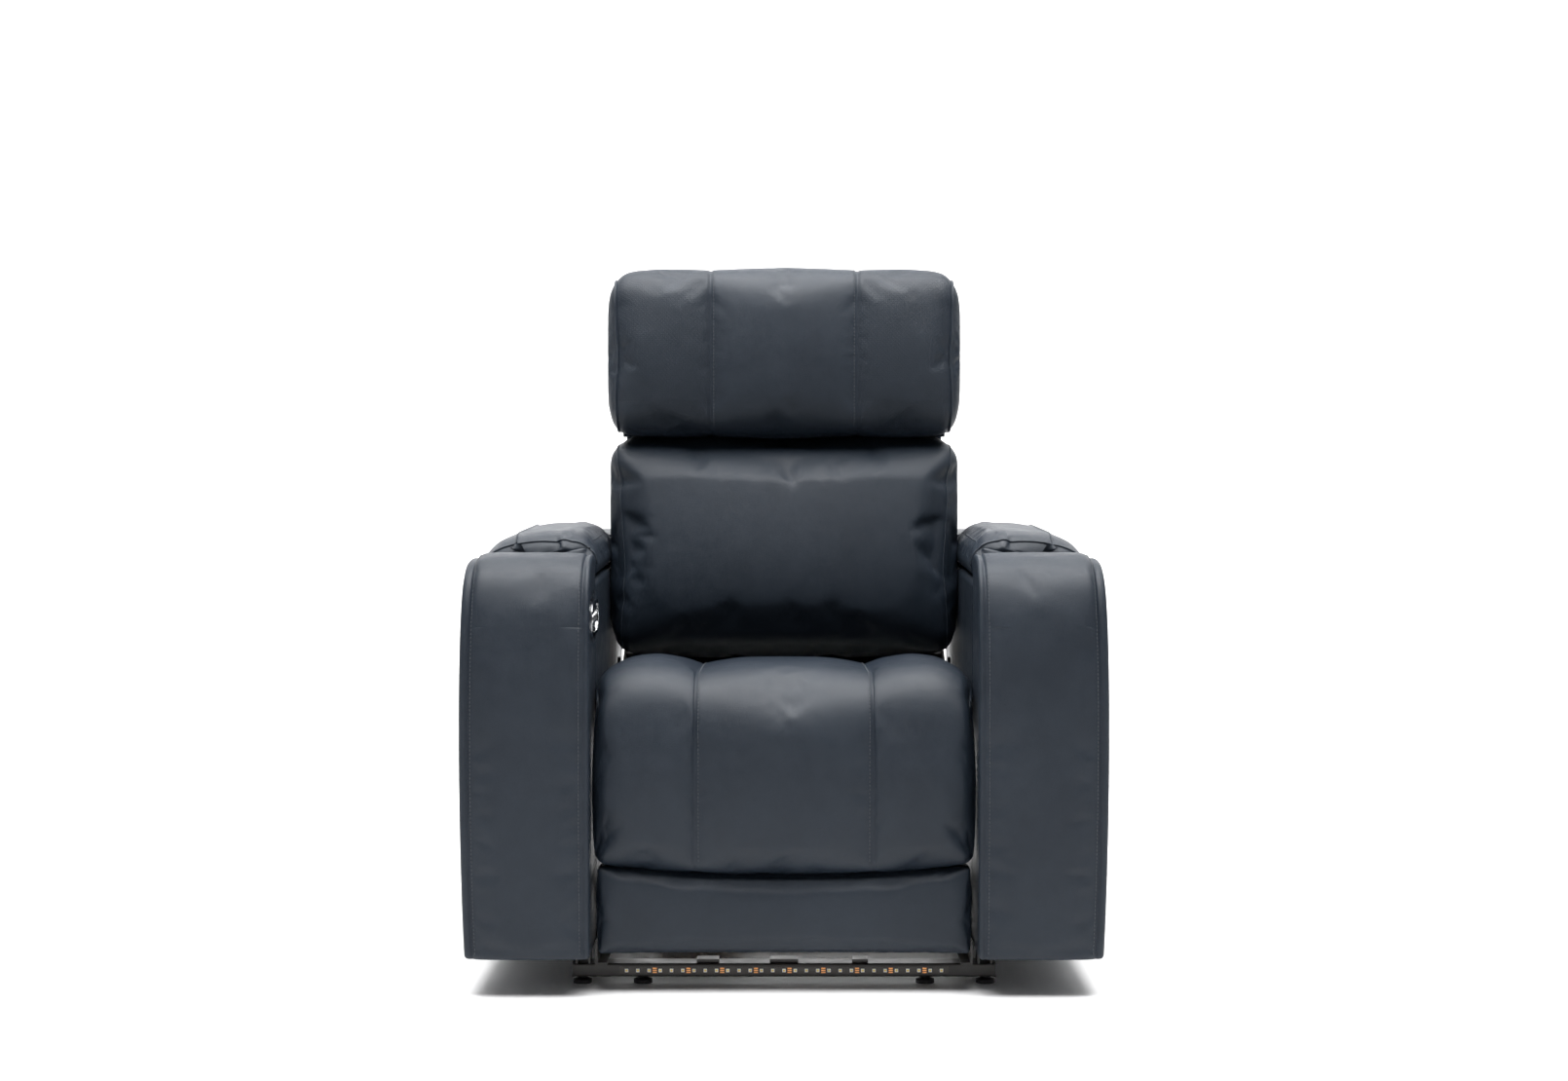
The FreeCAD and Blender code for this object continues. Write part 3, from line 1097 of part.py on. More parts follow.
def arc_band(centre, inner, outer, start, stop, x0, x1):
    """A plate shaped as a curved band about a side-view point, with round ends."""
    edges = []
    points = [around(centre, radius, angle) for radius, angle in
              ((inner, start), (inner, (start + stop) / 2), (inner, stop),
               (outer, stop), (outer, (start + stop) / 2), (outer, start))]
    p = [at(x0, *point) for point in points]
    end = at(x0, *around(centre, (inner + outer) / 2, stop + math.degrees((outer - inner) / (inner + outer))))
    begin = at(x0, *around(centre, (inner + outer) / 2, start - math.degrees((outer - inner) / (inner + outer))))
    edges.append(Part.Arc(p[0], p[1], p[2]).toShape())
    edges.append(Part.Arc(p[2], end, p[3]).toShape())
    edges.append(Part.Arc(p[3], p[4], p[5]).toShape())
    edges.append(Part.Arc(p[5], begin, p[0]).toShape())
    return Part.Face(Part.Wire(edges)).extrude(V(x1 - x0, 0, 0))


def headrest_board():
    """The headrest's back board with its two slotted sectors and the drive crank."""
    outline = rectangle(-HEADREST_HALF + 22, HEADREST_HALF - 22, HEADREST_BOTTOM + 24, HEADREST_TOP - 30, 30)
    board = front_prism(outline, BOARD_DEPTH, BOARD_DEPTH + HEADREST_BOARD)
    pieces = [board]
    slot_reach = GUIDE_PIN_RADIUS + 0.09
    for side in (-1, 1):
        x0, x1 = (SECTOR_X - 4, SECTOR_X) if side > 0 else (-SECTOR_X, -SECTOR_X + 4)
        band = arc_band(HEADREST_PIVOT, SECTOR_RADIUS - 13, SECTOR_RADIUS + 13,
                        PIN_LOW - HEADREST_TILT - 2, PIN_HIGH + 2, x0, x1)
        slot = arc_band(HEADREST_PIVOT, SECTOR_RADIUS - slot_reach, SECTOR_RADIUS + slot_reach,
                        PIN_LOW - HEADREST_TILT - 0.5, PIN_HIGH + 0.5, x0 - 1, x1 + 1)
        foot = box(x0, x1, BOARD_DEPTH + HEADREST_BOARD - 1, BOARD_DEPTH + HEADREST_BOARD + 30,
                   HEADREST_PIVOT[1] - 6, HEADREST_PIVOT[1] + 112)
        pieces.append(band.fuse(foot).cut(slot))
    crank_end = around(HEADREST_PIVOT, NUT_CRANK, -HEADREST_TILT / 2)
    for x in (-17.0, 13.0):
        pieces.append(link_bar([(BOARD_DEPTH + 5, HEADREST_PIVOT[1]), crank_end], 14.0, x, x + 4.0, 0))
    pieces.append(rod(crank_end, 4.0, -14, 14))
    whole = pieces[0]
    for piece in pieces[1:]:
        whole = whole.fuse(piece)
    front_trim = box(-400, 400, BOARD_DEPTH - 60, BOARD_DEPTH, HEADREST_BOTTOM - 60, HEADREST_TOP)
    return whole.cut(front_trim).removeSplitter()


def guide_brackets():
    """The two plates on the back frame whose pins run in the headrest's curved slots."""
    frame_front = lean_point(-FRAME_SET - FRAME_TUBE / 2, 0)[0]
    plates = []
    for side in (-1, 1):
        x0 = SECTOR_X + 1.0 if side > 0 else -SECTOR_X - 5.0
        low, high = around(HEADREST_PIVOT, SECTOR_RADIUS, PIN_LOW), around(HEADREST_PIVOT, SECTOR_RADIUS, PIN_HIGH)
        rear_low = lean_point(-FRAME_SET, (low[1] - HINGE_HEIGHT) / math.cos(math.radians(BACK_LEAN)))
        rear_high = lean_point(-FRAME_SET, (high[1] + 14 - HINGE_HEIGHT) / math.cos(math.radians(BACK_LEAN)))
        plate = link_bar([low, high, rear_high, rear_low, low], 18.0, x0, x0 + 4.0, 0)
        pin_x = (SECTOR_X - 4.5, SECTOR_X + 1.5) if side > 0 else (-SECTOR_X - 1.5, -SECTOR_X + 4.5)
        pins = [rod(p, GUIDE_PIN_RADIUS, pin_x[0], pin_x[1]) for p in (low, high)]
        tie = box(min(x0, side * FRAME_HALF), max(x0 + 4, side * FRAME_HALF), rear_low[0] - 6, rear_low[0] + 6,
                  rear_low[1] - 8, rear_low[1] + 8)
        plates.append(fuse([plate, tie] + pins).cut(back_frame()))
    return plates


NUT_TRAVEL = 2 * NUT_CRANK * math.sin(math.radians(HEADREST_TILT / 2))
NUT_START = around(HEADREST_PIVOT, NUT_CRANK, -HEADREST_TILT / 2)


def headrest_drive():
    """The upright screw drive behind the headrest: rail and motor on the back frame."""
    depth = NUT_START[0] + 22
    low, high = NUT_START[1] - 10, NUT_START[1] + NUT_TRAVEL + 14
    rail = box(-14, 14, depth, depth + 14, low, high).cut(box(-11, 11, depth - 1, depth + 11, low + 3, high - 3))
    screw = Part.makeCylinder(3.5, high - low - 4, at(0, depth + 5, low + 2), V(0, 0, 1))
    case = plan_prism(rectangle(-20, 20, depth - 16, depth + 18, 6), high, high + 44)
    can = Part.makeCylinder(14.0, 60.0, at(14, depth, high + 22), V(1, 0, 0))
    stays = []
    for height in (low + 6, high - 46):
        face = frame_face(height) + SOFT_GAP
        stays.append(box(-FRAME_HALF + FRAME_TUBE, FRAME_HALF - FRAME_TUBE, face + 4, face + 8, height, height + 14))
        stays.append(box(-8, 8, depth + 13, face + 6, height, height + 14))
    return fuse([rail, screw] + stays), case.fuse(can)


def headrest_nut():
    """The block on the upright screw, with a level slot for the crank pin."""
    depth, height = NUT_START
    reach = 4.0 + 0.9
    block = box(-9, 9, depth - 16, depth + 30, height - 7, height + 7)
    slot = side_plate(rectangle(depth - reach, depth + 9 + reach, height - reach, height + reach, reach * 0.98), -10, 10)
    bore = Part.makeCylinder(3.5 + RUNNING, 30, at(0, depth + 27, height - 15), V(0, 0, 1))
    return block.cut(slot).cut(bore)


def make_back():
    export("back_frame", [back_frame()])
    export("back_hinge_plates", both_sides(back_plate()))
    export("back_cushion", [back_cushion()])
    export("back_shell", [back_shell()])
    export("headrest_guides", guide_brackets())
    export("headrest_drive", headrest_drive())
    export("headrest_cushion", [headrest_cushion()])
    export("headrest_board", [headrest_board()])
    export("headrest_nut", [headrest_nut()])


os.makedirs("parts", exist_ok=True)
make_base()
make_light_strip()
make_arms()
make_controls()
make_seat()
make_footrest()
make_back()
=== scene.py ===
import json
import math

import bpy
import numpy as np
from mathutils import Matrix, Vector


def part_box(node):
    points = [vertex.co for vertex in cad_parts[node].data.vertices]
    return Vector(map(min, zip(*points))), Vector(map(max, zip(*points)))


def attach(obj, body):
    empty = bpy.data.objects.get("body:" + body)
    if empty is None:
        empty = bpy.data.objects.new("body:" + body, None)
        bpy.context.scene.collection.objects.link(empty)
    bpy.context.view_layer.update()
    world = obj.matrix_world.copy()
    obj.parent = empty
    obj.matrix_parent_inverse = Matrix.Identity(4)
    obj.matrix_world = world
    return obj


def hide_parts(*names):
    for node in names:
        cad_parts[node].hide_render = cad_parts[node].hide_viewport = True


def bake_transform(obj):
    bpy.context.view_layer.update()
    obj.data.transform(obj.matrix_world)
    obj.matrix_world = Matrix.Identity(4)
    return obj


# The frame is in metres: X to the right seen from the front, Y to the rear, Z up.
# The sizes below repeat the chair's own, in millimetres, with depths counted from the arm fronts.
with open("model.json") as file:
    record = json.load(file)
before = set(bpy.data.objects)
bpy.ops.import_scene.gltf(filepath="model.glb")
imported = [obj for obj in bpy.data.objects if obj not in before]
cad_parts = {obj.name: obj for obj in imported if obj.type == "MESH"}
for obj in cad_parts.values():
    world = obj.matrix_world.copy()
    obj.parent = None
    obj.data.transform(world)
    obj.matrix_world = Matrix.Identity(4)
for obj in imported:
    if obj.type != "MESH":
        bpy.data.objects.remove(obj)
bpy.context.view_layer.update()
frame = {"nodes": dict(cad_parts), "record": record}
nodes = frame["nodes"]

Y_FRONT = -440.0
ARM_INNER, ARM_OUTER, BULGE = 282.0, 463.0, 8.0
ARM_UNDER, ARM_TOP = 54.0, 645.0
BAND_DEPTH, BAND_ROUND = 158.0, 130.0
LID_START, LID_LENGTH, LID_SEAT, LID_CROWN = 166.0, 452.0, 597.0, 665.0
SEAT_TOP, SEAT_FRONT, SEAT_UNDER, SEAT_HALF = 475.0, 25.0, 394.0, 276.0
SEAT_REAR, SEAT_FALL, SEAM_X = 500.0, 25.0, 130.0
PAD_LOW, PAD_BACK, PANEL_LOW = 187.0, 87.0, 57.0
HEAD_LOW, HEAD_TOP, HEAD_HALF, HEAD_FRONT, HEAD_THICK = 812.0, 1083.0, 281.0, 465.0, 130.0
HEAD_SEAM = 118.0
BACK_LOW, BACK_HIGH, BACK_WAIST, BACK_WIDE, BACK_FRONT = 460.0, 805.0, 273.0, 278.5, 430.0


# Surfaces

def closed_mesh(name, grid, caps=True):
    """A mesh from a grid of points (stations, points round, 3) in millimetres as (across, depth, height).

    Each station's loop closes on itself. Neighbouring stations are joined by quads, and with caps
    the first and last loops are closed by a fan of triangles to their mean point."""
    n, m = grid.shape[:2]
    points = grid.reshape(-1, 3)
    i, j = np.meshgrid(np.arange(n - 1), np.arange(m), indexing="ij")
    a, b = i * m + j, i * m + (j + 1) % m
    quads = np.stack([a, b, b + m, a + m], -1).reshape(-1, 4).tolist()
    if caps:
        points = np.vstack([points, grid[0].mean(0), grid[-1].mean(0)])
        k = np.arange(m)
        first = np.stack([(k + 1) % m, k, np.full(m, n * m)], -1)
        last = np.stack([k + (n - 1) * m, (k + 1) % m + (n - 1) * m, np.full(m, n * m + 1)], -1)
        quads += first.tolist() + last.tolist()
    return mesh_object(name, points, quads)


def mesh_object(name, points, faces):
    """An object at the origin from points in millimetres, with smooth faces turned outwards."""
    data = bpy.data.meshes.new(name)
    place = (np.asarray(points, float) + (0.0, Y_FRONT, 0.0)) / 1000.0
    data.from_pydata(place.tolist(), [], faces)
    data.update()
    volume = np.zeros(len(data.polygons))
    centre, normal, area = np.zeros(len(volume) * 3), np.zeros(len(volume) * 3), volume.copy()
    data.polygons.foreach_get("center", centre)
    data.polygons.foreach_get("normal", normal)
    data.polygons.foreach_get("area", area)
    if ((centre.reshape(-1, 3) * normal.reshape(-1, 3)).sum(1) * area).sum() < 0:
        data.flip_normals()
    data.shade_smooth()
    item = bpy.data.objects.new(name, data)
    bpy.context.scene.collection.objects.link(item)
    return item


def rounded_loop(corners, radii, edge_steps, bows=None, turn_steps=None):
    """Closed outlines from their corners, for many stations at once.

    corners is (stations, k, 2). Each corner is a parabola between the two points its radius away
    on its edges, and each edge between is straight plus a bow times 4 s (1 - s) on its outer side."""
    corners = np.asarray(corners, float)
    k = corners.shape[1]
    radii = np.broadcast_to(np.asarray(radii, float), corners.shape[:2])
    ahead = np.roll(corners, -1, 1) - corners
    length = np.linalg.norm(ahead, axis=-1, keepdims=True)
    ahead = ahead / length
    leave = corners + ahead * np.minimum(radii[..., None], length * 0.49)
    reach = corners - np.roll(ahead, 1, 1) * np.minimum(radii[..., None], np.roll(length, 1, 1) * 0.49)
    parts = []
    for c in range(k):
        turn = np.linspace(0, 1, 7 if turn_steps is None else turn_steps[c])[:, None]
        p, q, r = reach[:, None, c], corners[:, None, c], leave[:, None, c]
        parts.append((1 - turn) ** 2 * p + 2 * turn * (1 - turn) * q + turn ** 2 * r)
        steps = edge_steps[c]
        s = np.linspace(0, 1, steps + 2)[1:-1][:, None]
        edge = r * (1 - s) + reach[:, None, (c + 1) % k] * s
        if bows is not None:
            out = np.stack([ahead[:, c, 1], -ahead[:, c, 0]], -1)[:, None]
            bow = np.broadcast_to(np.asarray(bows, float), corners.shape[:2])[:, c, None, None]
            edge = edge + out * bow * 4 * s * (1 - s)
        parts.append(edge)
    return np.concatenate(parts, 1)


def end_rounding(half, radius, middle, turns=9, fills=10, dome=3.0):
    """Places across a cushion and how far its outline is drawn in there.

    Between the edges the draw is nought. Over each edge it follows a quarter circle of the radius,
    and then grows linearly to 1, the centre, over a slightly domed end face."""
    angle = np.linspace(0, math.pi / 2, turns + 1)[1:]
    x = half - radius + radius * np.sin(angle)
    draw = radius * (1 - np.cos(angle))
    fill = np.linspace(0, 1, fills + 1)[1:]
    across = np.concatenate([x, half + dome * (1 - (1 - fill) ** 2)])
    amount = np.concatenate([draw, np.full(fills, radius)])
    share = np.concatenate([np.zeros(turns), fill * 0.985])
    middle = np.asarray(middle, float)
    across = np.concatenate([-across[::-1], middle, across])
    amount = np.concatenate([amount[::-1], np.zeros(len(middle)), amount])
    share = np.concatenate([share[::-1], np.zeros(len(middle)), share])
    return across, amount, share


def drawn_in(loops, amount, share, centre):
    """Outlines moved inwards square to themselves by an amount, then towards their centre by a share.

    The loops run anticlockwise, so inwards is the direction of travel turned left."""
    ahead = np.roll(loops, -1, 1) - np.roll(loops, 1, 1)
    ahead /= np.maximum(np.linalg.norm(ahead, axis=-1, keepdims=True), 1e-9)
    inwards = np.stack([-ahead[..., 1], ahead[..., 0]], -1)
    return centre + (loops + inwards * amount[:, None, None] - centre) * (1 - share)[:, None, None]


def seam_places(half, seams, step, fine=(0.0, 0.8, 1.8, 3.2, 5.5, 9.0, 14.0)):
    """Stations across a cushion: even steps, with fine ones on both sides of each seam."""
    even = np.linspace(-half, half, int(2 * half / step) + 1)
    near = [s * side * 1.0 + sign * f for s in seams for side in (1, -1) for sign in (1, -1) for f in fine]
    keep = even[np.min(np.abs(even[:, None] - np.array(near)[None]), 1) > step * 0.45] if near else even
    return np.array(sorted(set(np.round(np.concatenate([keep, [v for v in near if abs(v) < half]]), 3))))


def read_points(data):
    points = np.zeros(len(data.vertices) * 3)
    data.vertices.foreach_get("co", points)
    return points.reshape(-1, 3)


def write_points(data, points):
    data.vertices.foreach_set("co", np.asarray(points, np.float32).ravel())
    data.update()


def read_normals(data):
    normals = np.zeros(len(data.vertices) * 3)
    data.vertex_normals.foreach_get("vector", normals)
    return normals.reshape(-1, 3)


# Finishes

def linked(tree, kind, **sockets):
    """A node with its inputs set to a value, or fed by an output. Spaces in names are underscores."""
    node = tree.nodes.new(kind)
    for name, value in sockets.items():
        name = name.replace("_", " ")
        numbered = name.startswith("in") and name[2:].isdigit()
        target = node.inputs[int(name[2:])] if numbered else node.inputs[name]
        if isinstance(value, bpy.types.NodeSocket):
            tree.links.new(value, target)
        else:
            target.default_value = value
    return node


def start_finish(name, roughness=0.5, metallic=0.0, colour=(0.5, 0.5, 0.5)):
    """A material with its main shader, and the object's own coordinates."""
    material = bpy.data.materials.new(name)
    material.use_nodes = True
    tree = material.node_tree
    shader = tree.nodes["Principled BSDF"]
    shader.inputs["Roughness"].default_value = roughness
    shader.inputs["Metallic"].default_value = metallic
    shader.inputs["Base Color"].default_value = (*colour, 1)
    material.diffuse_color = (*colour, 1)
    return material, tree, shader, tree.nodes.new("ShaderNodeTexCoord").outputs["Object"]


def noise(tree, where, scale, detail=3.0, roughness=0.55):
    node = linked(tree, "ShaderNodeTexNoise", Vector=where, Scale=scale, Detail=detail, Roughness=roughness)
    return node.outputs["Fac"]


def sums(tree, operation, a, b=0.0, clamp=False):
    node = linked(tree, "ShaderNodeMath", in0=a, in1=b)
    node.operation = operation
    node.use_clamp = clamp
    return node.outputs[0]


def span(tree, value, low, high, to_low=0.0, to_high=1.0):
    node = linked(tree, "ShaderNodeMapRange", Value=value, From_Min=low, From_Max=high,
                  To_Min=to_low, To_Max=to_high)
    return node.outputs["Result"]


def between(tree, share, dark, light):
    """A colour between two, by a share."""
    node = linked(tree, "ShaderNodeMix", in0=share)
    node.data_type = "RGBA"
    for socket, colour in ((node.inputs[6], dark), (node.inputs[7], light)):
        if isinstance(colour, bpy.types.NodeSocket):
            tree.links.new(colour, socket)
        else:
            socket.default_value = (*colour, 1)
    return node.outputs[2]


def raised(tree, height, distance, strength=1.0, under=None):
    sockets = {"Height": height, "Distance": distance, "Strength": strength}
    if under is not None:
        sockets["Normal"] = under
    return linked(tree, "ShaderNodeBump", **sockets).outputs["Normal"]


def stretched(tree, where, scale, turn=(0.0, 0.0, 0.0)):
    return linked(tree, "ShaderNodeMapping", Vector=where, Scale=scale, Rotation=turn).outputs["Vector"]


def leather_grain(tree, shader, where, dark, light, depth=0.00022):
    """Pebbled grain: cells 1.3 mm wide, finer pores in them, and slow changes of colour and shine."""
    warp = linked(tree, "ShaderNodeTexNoise", Vector=where, Scale=140.0, Detail=2.0)
    moved = linked(tree, "ShaderNodeVectorMath", in0=warp.outputs["Color"], in1=(0.0011, 0.0011, 0.0011))
    moved.operation = "MULTIPLY"
    place = linked(tree, "ShaderNodeVectorMath", in0=where, in1=moved.outputs[0])
    cells = linked(tree, "ShaderNodeTexVoronoi", Vector=place.outputs[0], Scale=760.0)
    cells.feature = "DISTANCE_TO_EDGE"
    pebble = span(tree, cells.outputs["Distance"], 0.0, 0.16)
    pores = noise(tree, where, 2600.0, 2.0)
    tone = noise(tree, where, 7.0, 4.0)
    rub = noise(tree, where, 34.0, 5.0, 0.65)
    mixed = sums(tree, "ADD", sums(tree, "MULTIPLY", tone, 0.65), sums(tree, "MULTIPLY", rub, 0.35))
    colour = between(tree, span(tree, mixed, 0.36, 0.66), dark, light)
    # the valleys between the grain's cells are painted darker: painted shade in the creases
    crease_shade = between(tree, span(tree, pebble, 0.0, 0.5, 0.5, 1.0), tuple(0.55 * c for c in dark), colour)
    tree.links.new(crease_shade, shader.inputs["Base Color"])
    shine = sums(tree, "ADD", rub, sums(tree, "MULTIPLY", pores, 0.3))
    tree.links.new(span(tree, shine, 0.4, 0.95, 0.36, 0.52), shader.inputs["Roughness"])
    fine = raised(tree, pores, depth * 0.35, 0.5)
    grain = raised(tree, pebble, depth, 0.6, fine)
    wrinkle = noise(tree, stretched(tree, where, (1.0, 1.0, 0.55)), 46.0, 3.0)
    return raised(tree, wrinkle, 0.0011, 0.45, grain)


LEATHER_DARK, LEATHER_LIGHT = (0.0085, 0.0135, 0.0215), (0.0140, 0.0205, 0.0305)


def leather(name, dark=LEATHER_DARK, light=LEATHER_LIGHT):
    material, tree, shader, where = start_finish(name, 0.42, 0.0, light)
    shader.inputs["Specular IOR Level"].default_value = 0.3
    tree.links.new(leather_grain(tree, shader, where, dark, light), shader.inputs["Normal"])
    return material


def perforated_leather(name, pitch=6.6, row=3.3, hole=0.62):
    """Leather with small holes in staggered rows: two square grids of round dots, half a pitch apart.

    The piece's own map runs across the panel and along its surface, in metres."""
    material, tree, shader, where = start_finish(name, 0.42, 0.0, LEATHER_LIGHT)
    shader.inputs["Specular IOR Level"].default_value = 0.3
    under = leather_grain(tree, shader, where, LEATHER_DARK, LEATHER_LIGHT)
    plain = shader.inputs["Base Color"].links[0].from_socket
    flat = linked(tree, "ShaderNodeUVMap")
    flat.uv_map = "along"
    holes = None
    for shift in (0.0, 0.5):
        at = linked(tree, "ShaderNodeMapping", Vector=flat.outputs["UV"], Location=(shift, shift, 0.0),
                    Scale=(1000 / pitch, 500 / row, 1.0)).outputs["Vector"]
        cell = linked(tree, "ShaderNodeVectorMath", in0=at)
        cell.operation = "FRACTION"
        off = linked(tree, "ShaderNodeVectorMath", in0=cell.outputs[0], in1=(-0.5, -0.5, 0.0))
        far = linked(tree, "ShaderNodeVectorMath", in0=off.outputs[0])
        far.operation = "LENGTH"
        dot = span(tree, far.outputs["Value"], hole / pitch * 0.85, hole / pitch * 1.25, 1.0, 0.0)
        holes = dot if holes is None else sums(tree, "MAXIMUM", holes, dot)
    # the holes are real, and their near-black colour is painted shade: the backing inside each hole, in
    # shade
    tree.links.new(between(tree, holes, plain, (0.0012, 0.0014, 0.0017)), shader.inputs["Base Color"])
    solid = sums(tree, "SUBTRACT", 1.0, holes)
    tree.links.new(raised(tree, solid, 0.0007, 0.9, under), shader.inputs["Normal"])
    return material


def worn(name, dark, light, roughness, metallic=0.0, scale=60.0, grain=900.0, depth=0.00006, spread=0.08,
         stretch=(1.0, 1.0, 1.0)):
    """A plain finish: slow colour changes, a fine surface grain, and a roughness that wanders a little."""
    material, tree, shader, where = start_finish(name, roughness, metallic, light)
    along = stretched(tree, where, stretch)
    slow = noise(tree, where, scale, 4.0)
    fine = noise(tree, along, grain, 3.0)
    tree.links.new(between(tree, span(tree, slow, 0.35, 0.65), dark, light), shader.inputs["Base Color"])
    shine = sums(tree, "ADD", slow, fine)
    rough = span(tree, shine, 0.7, 1.3, roughness - spread, roughness + spread)
    tree.links.new(rough, shader.inputs["Roughness"])
    tree.links.new(raised(tree, fine, depth, 0.6), shader.inputs["Normal"])
    return material


def plywood_finish(name):
    """Birch plywood: long grain on its faces and thin dark and pale layers through its thickness."""
    material, tree, shader, where = start_finish(name, 0.6, 0.0, (0.5, 0.36, 0.2))
    grain = noise(tree, stretched(tree, where, (3.0, 60.0, 60.0)), 6.0, 6.0, 0.6)
    face = between(tree, span(tree, grain, 0.3, 0.7), (0.36, 0.23, 0.12), (0.56, 0.40, 0.23))
    layers = linked(tree, "ShaderNodeTexWave", Vector=stretched(tree, where, (1.0, 1.0, 1.0)), Scale=115.0,
                    Distortion=0.4, Detail=1.0)
    layers.bands_direction = "DIAGONAL"
    turned = linked(tree, "ShaderNodeMix", in0=0.28)
    turned.data_type = "RGBA"
    tree.links.new(face, turned.inputs[6])
    plies = between(tree, layers.outputs["Fac"], (0.22, 0.13, 0.07), (0.6, 0.45, 0.28))
    tree.links.new(plies, turned.inputs[7])
    tree.links.new(turned.outputs[2], shader.inputs["Base Color"])
    tree.links.new(raised(tree, grain, 0.0002, 0.5), shader.inputs["Normal"])
    return material


def woven_finish(name, dark, light, thread=420.0):
    """A plain weave: threads both ways, each over and under the next."""
    material, tree, shader, where = start_finish(name, 0.85, 0.0, light)
    over = linked(tree, "ShaderNodeTexWave", Vector=where, Scale=thread)
    under = linked(tree, "ShaderNodeTexWave", Vector=where, Scale=thread)
    over.bands_direction, under.bands_direction = "X", "Y"
    weave = sums(tree, "MAXIMUM", over.outputs["Fac"], under.outputs["Fac"])
    tree.links.new(between(tree, sums(tree, "MULTIPLY", weave, noise(tree, where, 90.0)), dark, light),
                   shader.inputs["Base Color"])
    tree.links.new(raised(tree, weave, 0.0004, 0.7), shader.inputs["Normal"])
    shader.inputs["Sheen Weight"].default_value = 0.2
    return material


def light_finish(name, pitch=0.01667, count=29):
    """The lamps: a white case round a yellow phosphor dome, centred on each lamp along the strip."""
    material, tree, shader, where = start_finish(name, 0.25, 0.0, (0.9, 0.88, 0.8))
    parts = linked(tree, "ShaderNodeSeparateXYZ", Vector=where)
    cell = sums(tree, "FRACT", sums(tree, "ADD", sums(tree, "DIVIDE", parts.outputs["X"], pitch), count / 2))
    across = sums(tree, "MULTIPLY", sums(tree, "SUBTRACT", cell, 0.5), pitch)
    low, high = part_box("strip_lights")
    up = sums(tree, "SUBTRACT", parts.outputs["Z"], (low.z + high.z) / 2)
    squares = sums(tree, "MULTIPLY", across, across), sums(tree, "MULTIPLY", up, up)
    far = sums(tree, "SQRT", sums(tree, "ADD", *squares))
    dome = span(tree, far, 0.00155, 0.0019, 1.0, 0.0)
    speck = span(tree, noise(tree, where, 1500.0), 0.3, 0.7)
    tint = between(tree, speck, (0.86, 0.62, 0.10), (0.93, 0.76, 0.24))
    tree.links.new(between(tree, dome, (0.88, 0.87, 0.83), tint), shader.inputs["Base Color"])
    tree.links.new(raised(tree, dome, 0.0004, 0.5), shader.inputs["Normal"])
    return material


def strip_finish(name):
    """The strip's board: satin black lacquer over faint copper tracks."""
    material, tree, shader, where = start_finish(name, 0.35, 0.0, (0.012, 0.012, 0.013))
    tracks = linked(tree, "ShaderNodeTexBrick", Scale=1.0, Mortar_Size=0.06,
                    Vector=stretched(tree, where, (60.0, 60.0, 420.0)))
    tree.links.new(between(tree, tracks.outputs["Fac"], (0.014, 0.013, 0.013), (0.028, 0.021, 0.016)),
                   shader.inputs["Base Color"])
    tree.links.new(raised(tree, tracks.outputs["Fac"], 0.00005, 0.6), shader.inputs["Normal"])
    return material


finishes = {
    "leather": leather("leather"),
    "steel_black": worn("black_steel", (0.010, 0.0085, 0.0075), (0.017, 0.014, 0.012), 0.42, 0.0,
                        40.0, 1400.0, 0.00009),
    "steel_bright": worn("zinc_steel", (0.42, 0.42, 0.43), (0.58, 0.58, 0.60), 0.34, 1.0,
                         70.0, 500.0, 0.00003, 0.1, (1.0, 0.05, 1.0)),
    "chrome": worn("chrome", (0.74, 0.75, 0.77), (0.86, 0.87, 0.88), 0.09, 1.0, 90.0, 700.0, 0.000006, 0.04),
    "black_plastic": worn("black_plastic", (0.008, 0.008, 0.009), (0.013, 0.013, 0.014), 0.5, 0.0,
                          60.0, 2200.0, 0.00008),
    "gloss_black": worn("gloss_black", (0.004, 0.004, 0.005), (0.006, 0.006, 0.007), 0.12, 0.0,
                        50.0, 900.0, 0.000004, 0.04),
    "strip_board": strip_finish("strip_board"),
    "led_white": light_finish("strip_lamp"),
    "copper": worn("bare_copper", (0.55, 0.22, 0.08), (0.72, 0.33, 0.13), 0.32, 1.0, 300.0, 2500.0, 0.00002),
    "webbing": woven_finish("webbing", (0.02, 0.019, 0.018), (0.06, 0.056, 0.05)),
    "plywood": plywood_finish("plywood"),
    "nylon": worn("nylon", (0.62, 0.60, 0.55), (0.74, 0.72, 0.67), 0.45, 0.0, 80.0, 1200.0, 0.00004),
    "lining": woven_finish("felt_lining", (0.006, 0.006, 0.007), (0.016, 0.016, 0.018), 700.0),
}
finishes["perforated"] = perforated_leather("perforated_leather")
finishes["thread"] = worn("thread", (0.030, 0.036, 0.043), (0.055, 0.063, 0.072), 0.6, 0.0,
                          200.0, 3000.0, 0.00015)

slot_of = {part["node"]: part["material_slot"] for part in frame["record"]["subparts"]}
for node_name, item in nodes.items():
    item.data.materials.clear()
    item.data.materials.append(finishes[slot_of[node_name]])


# Soft pieces: simulated filling, seams, piping and stitches

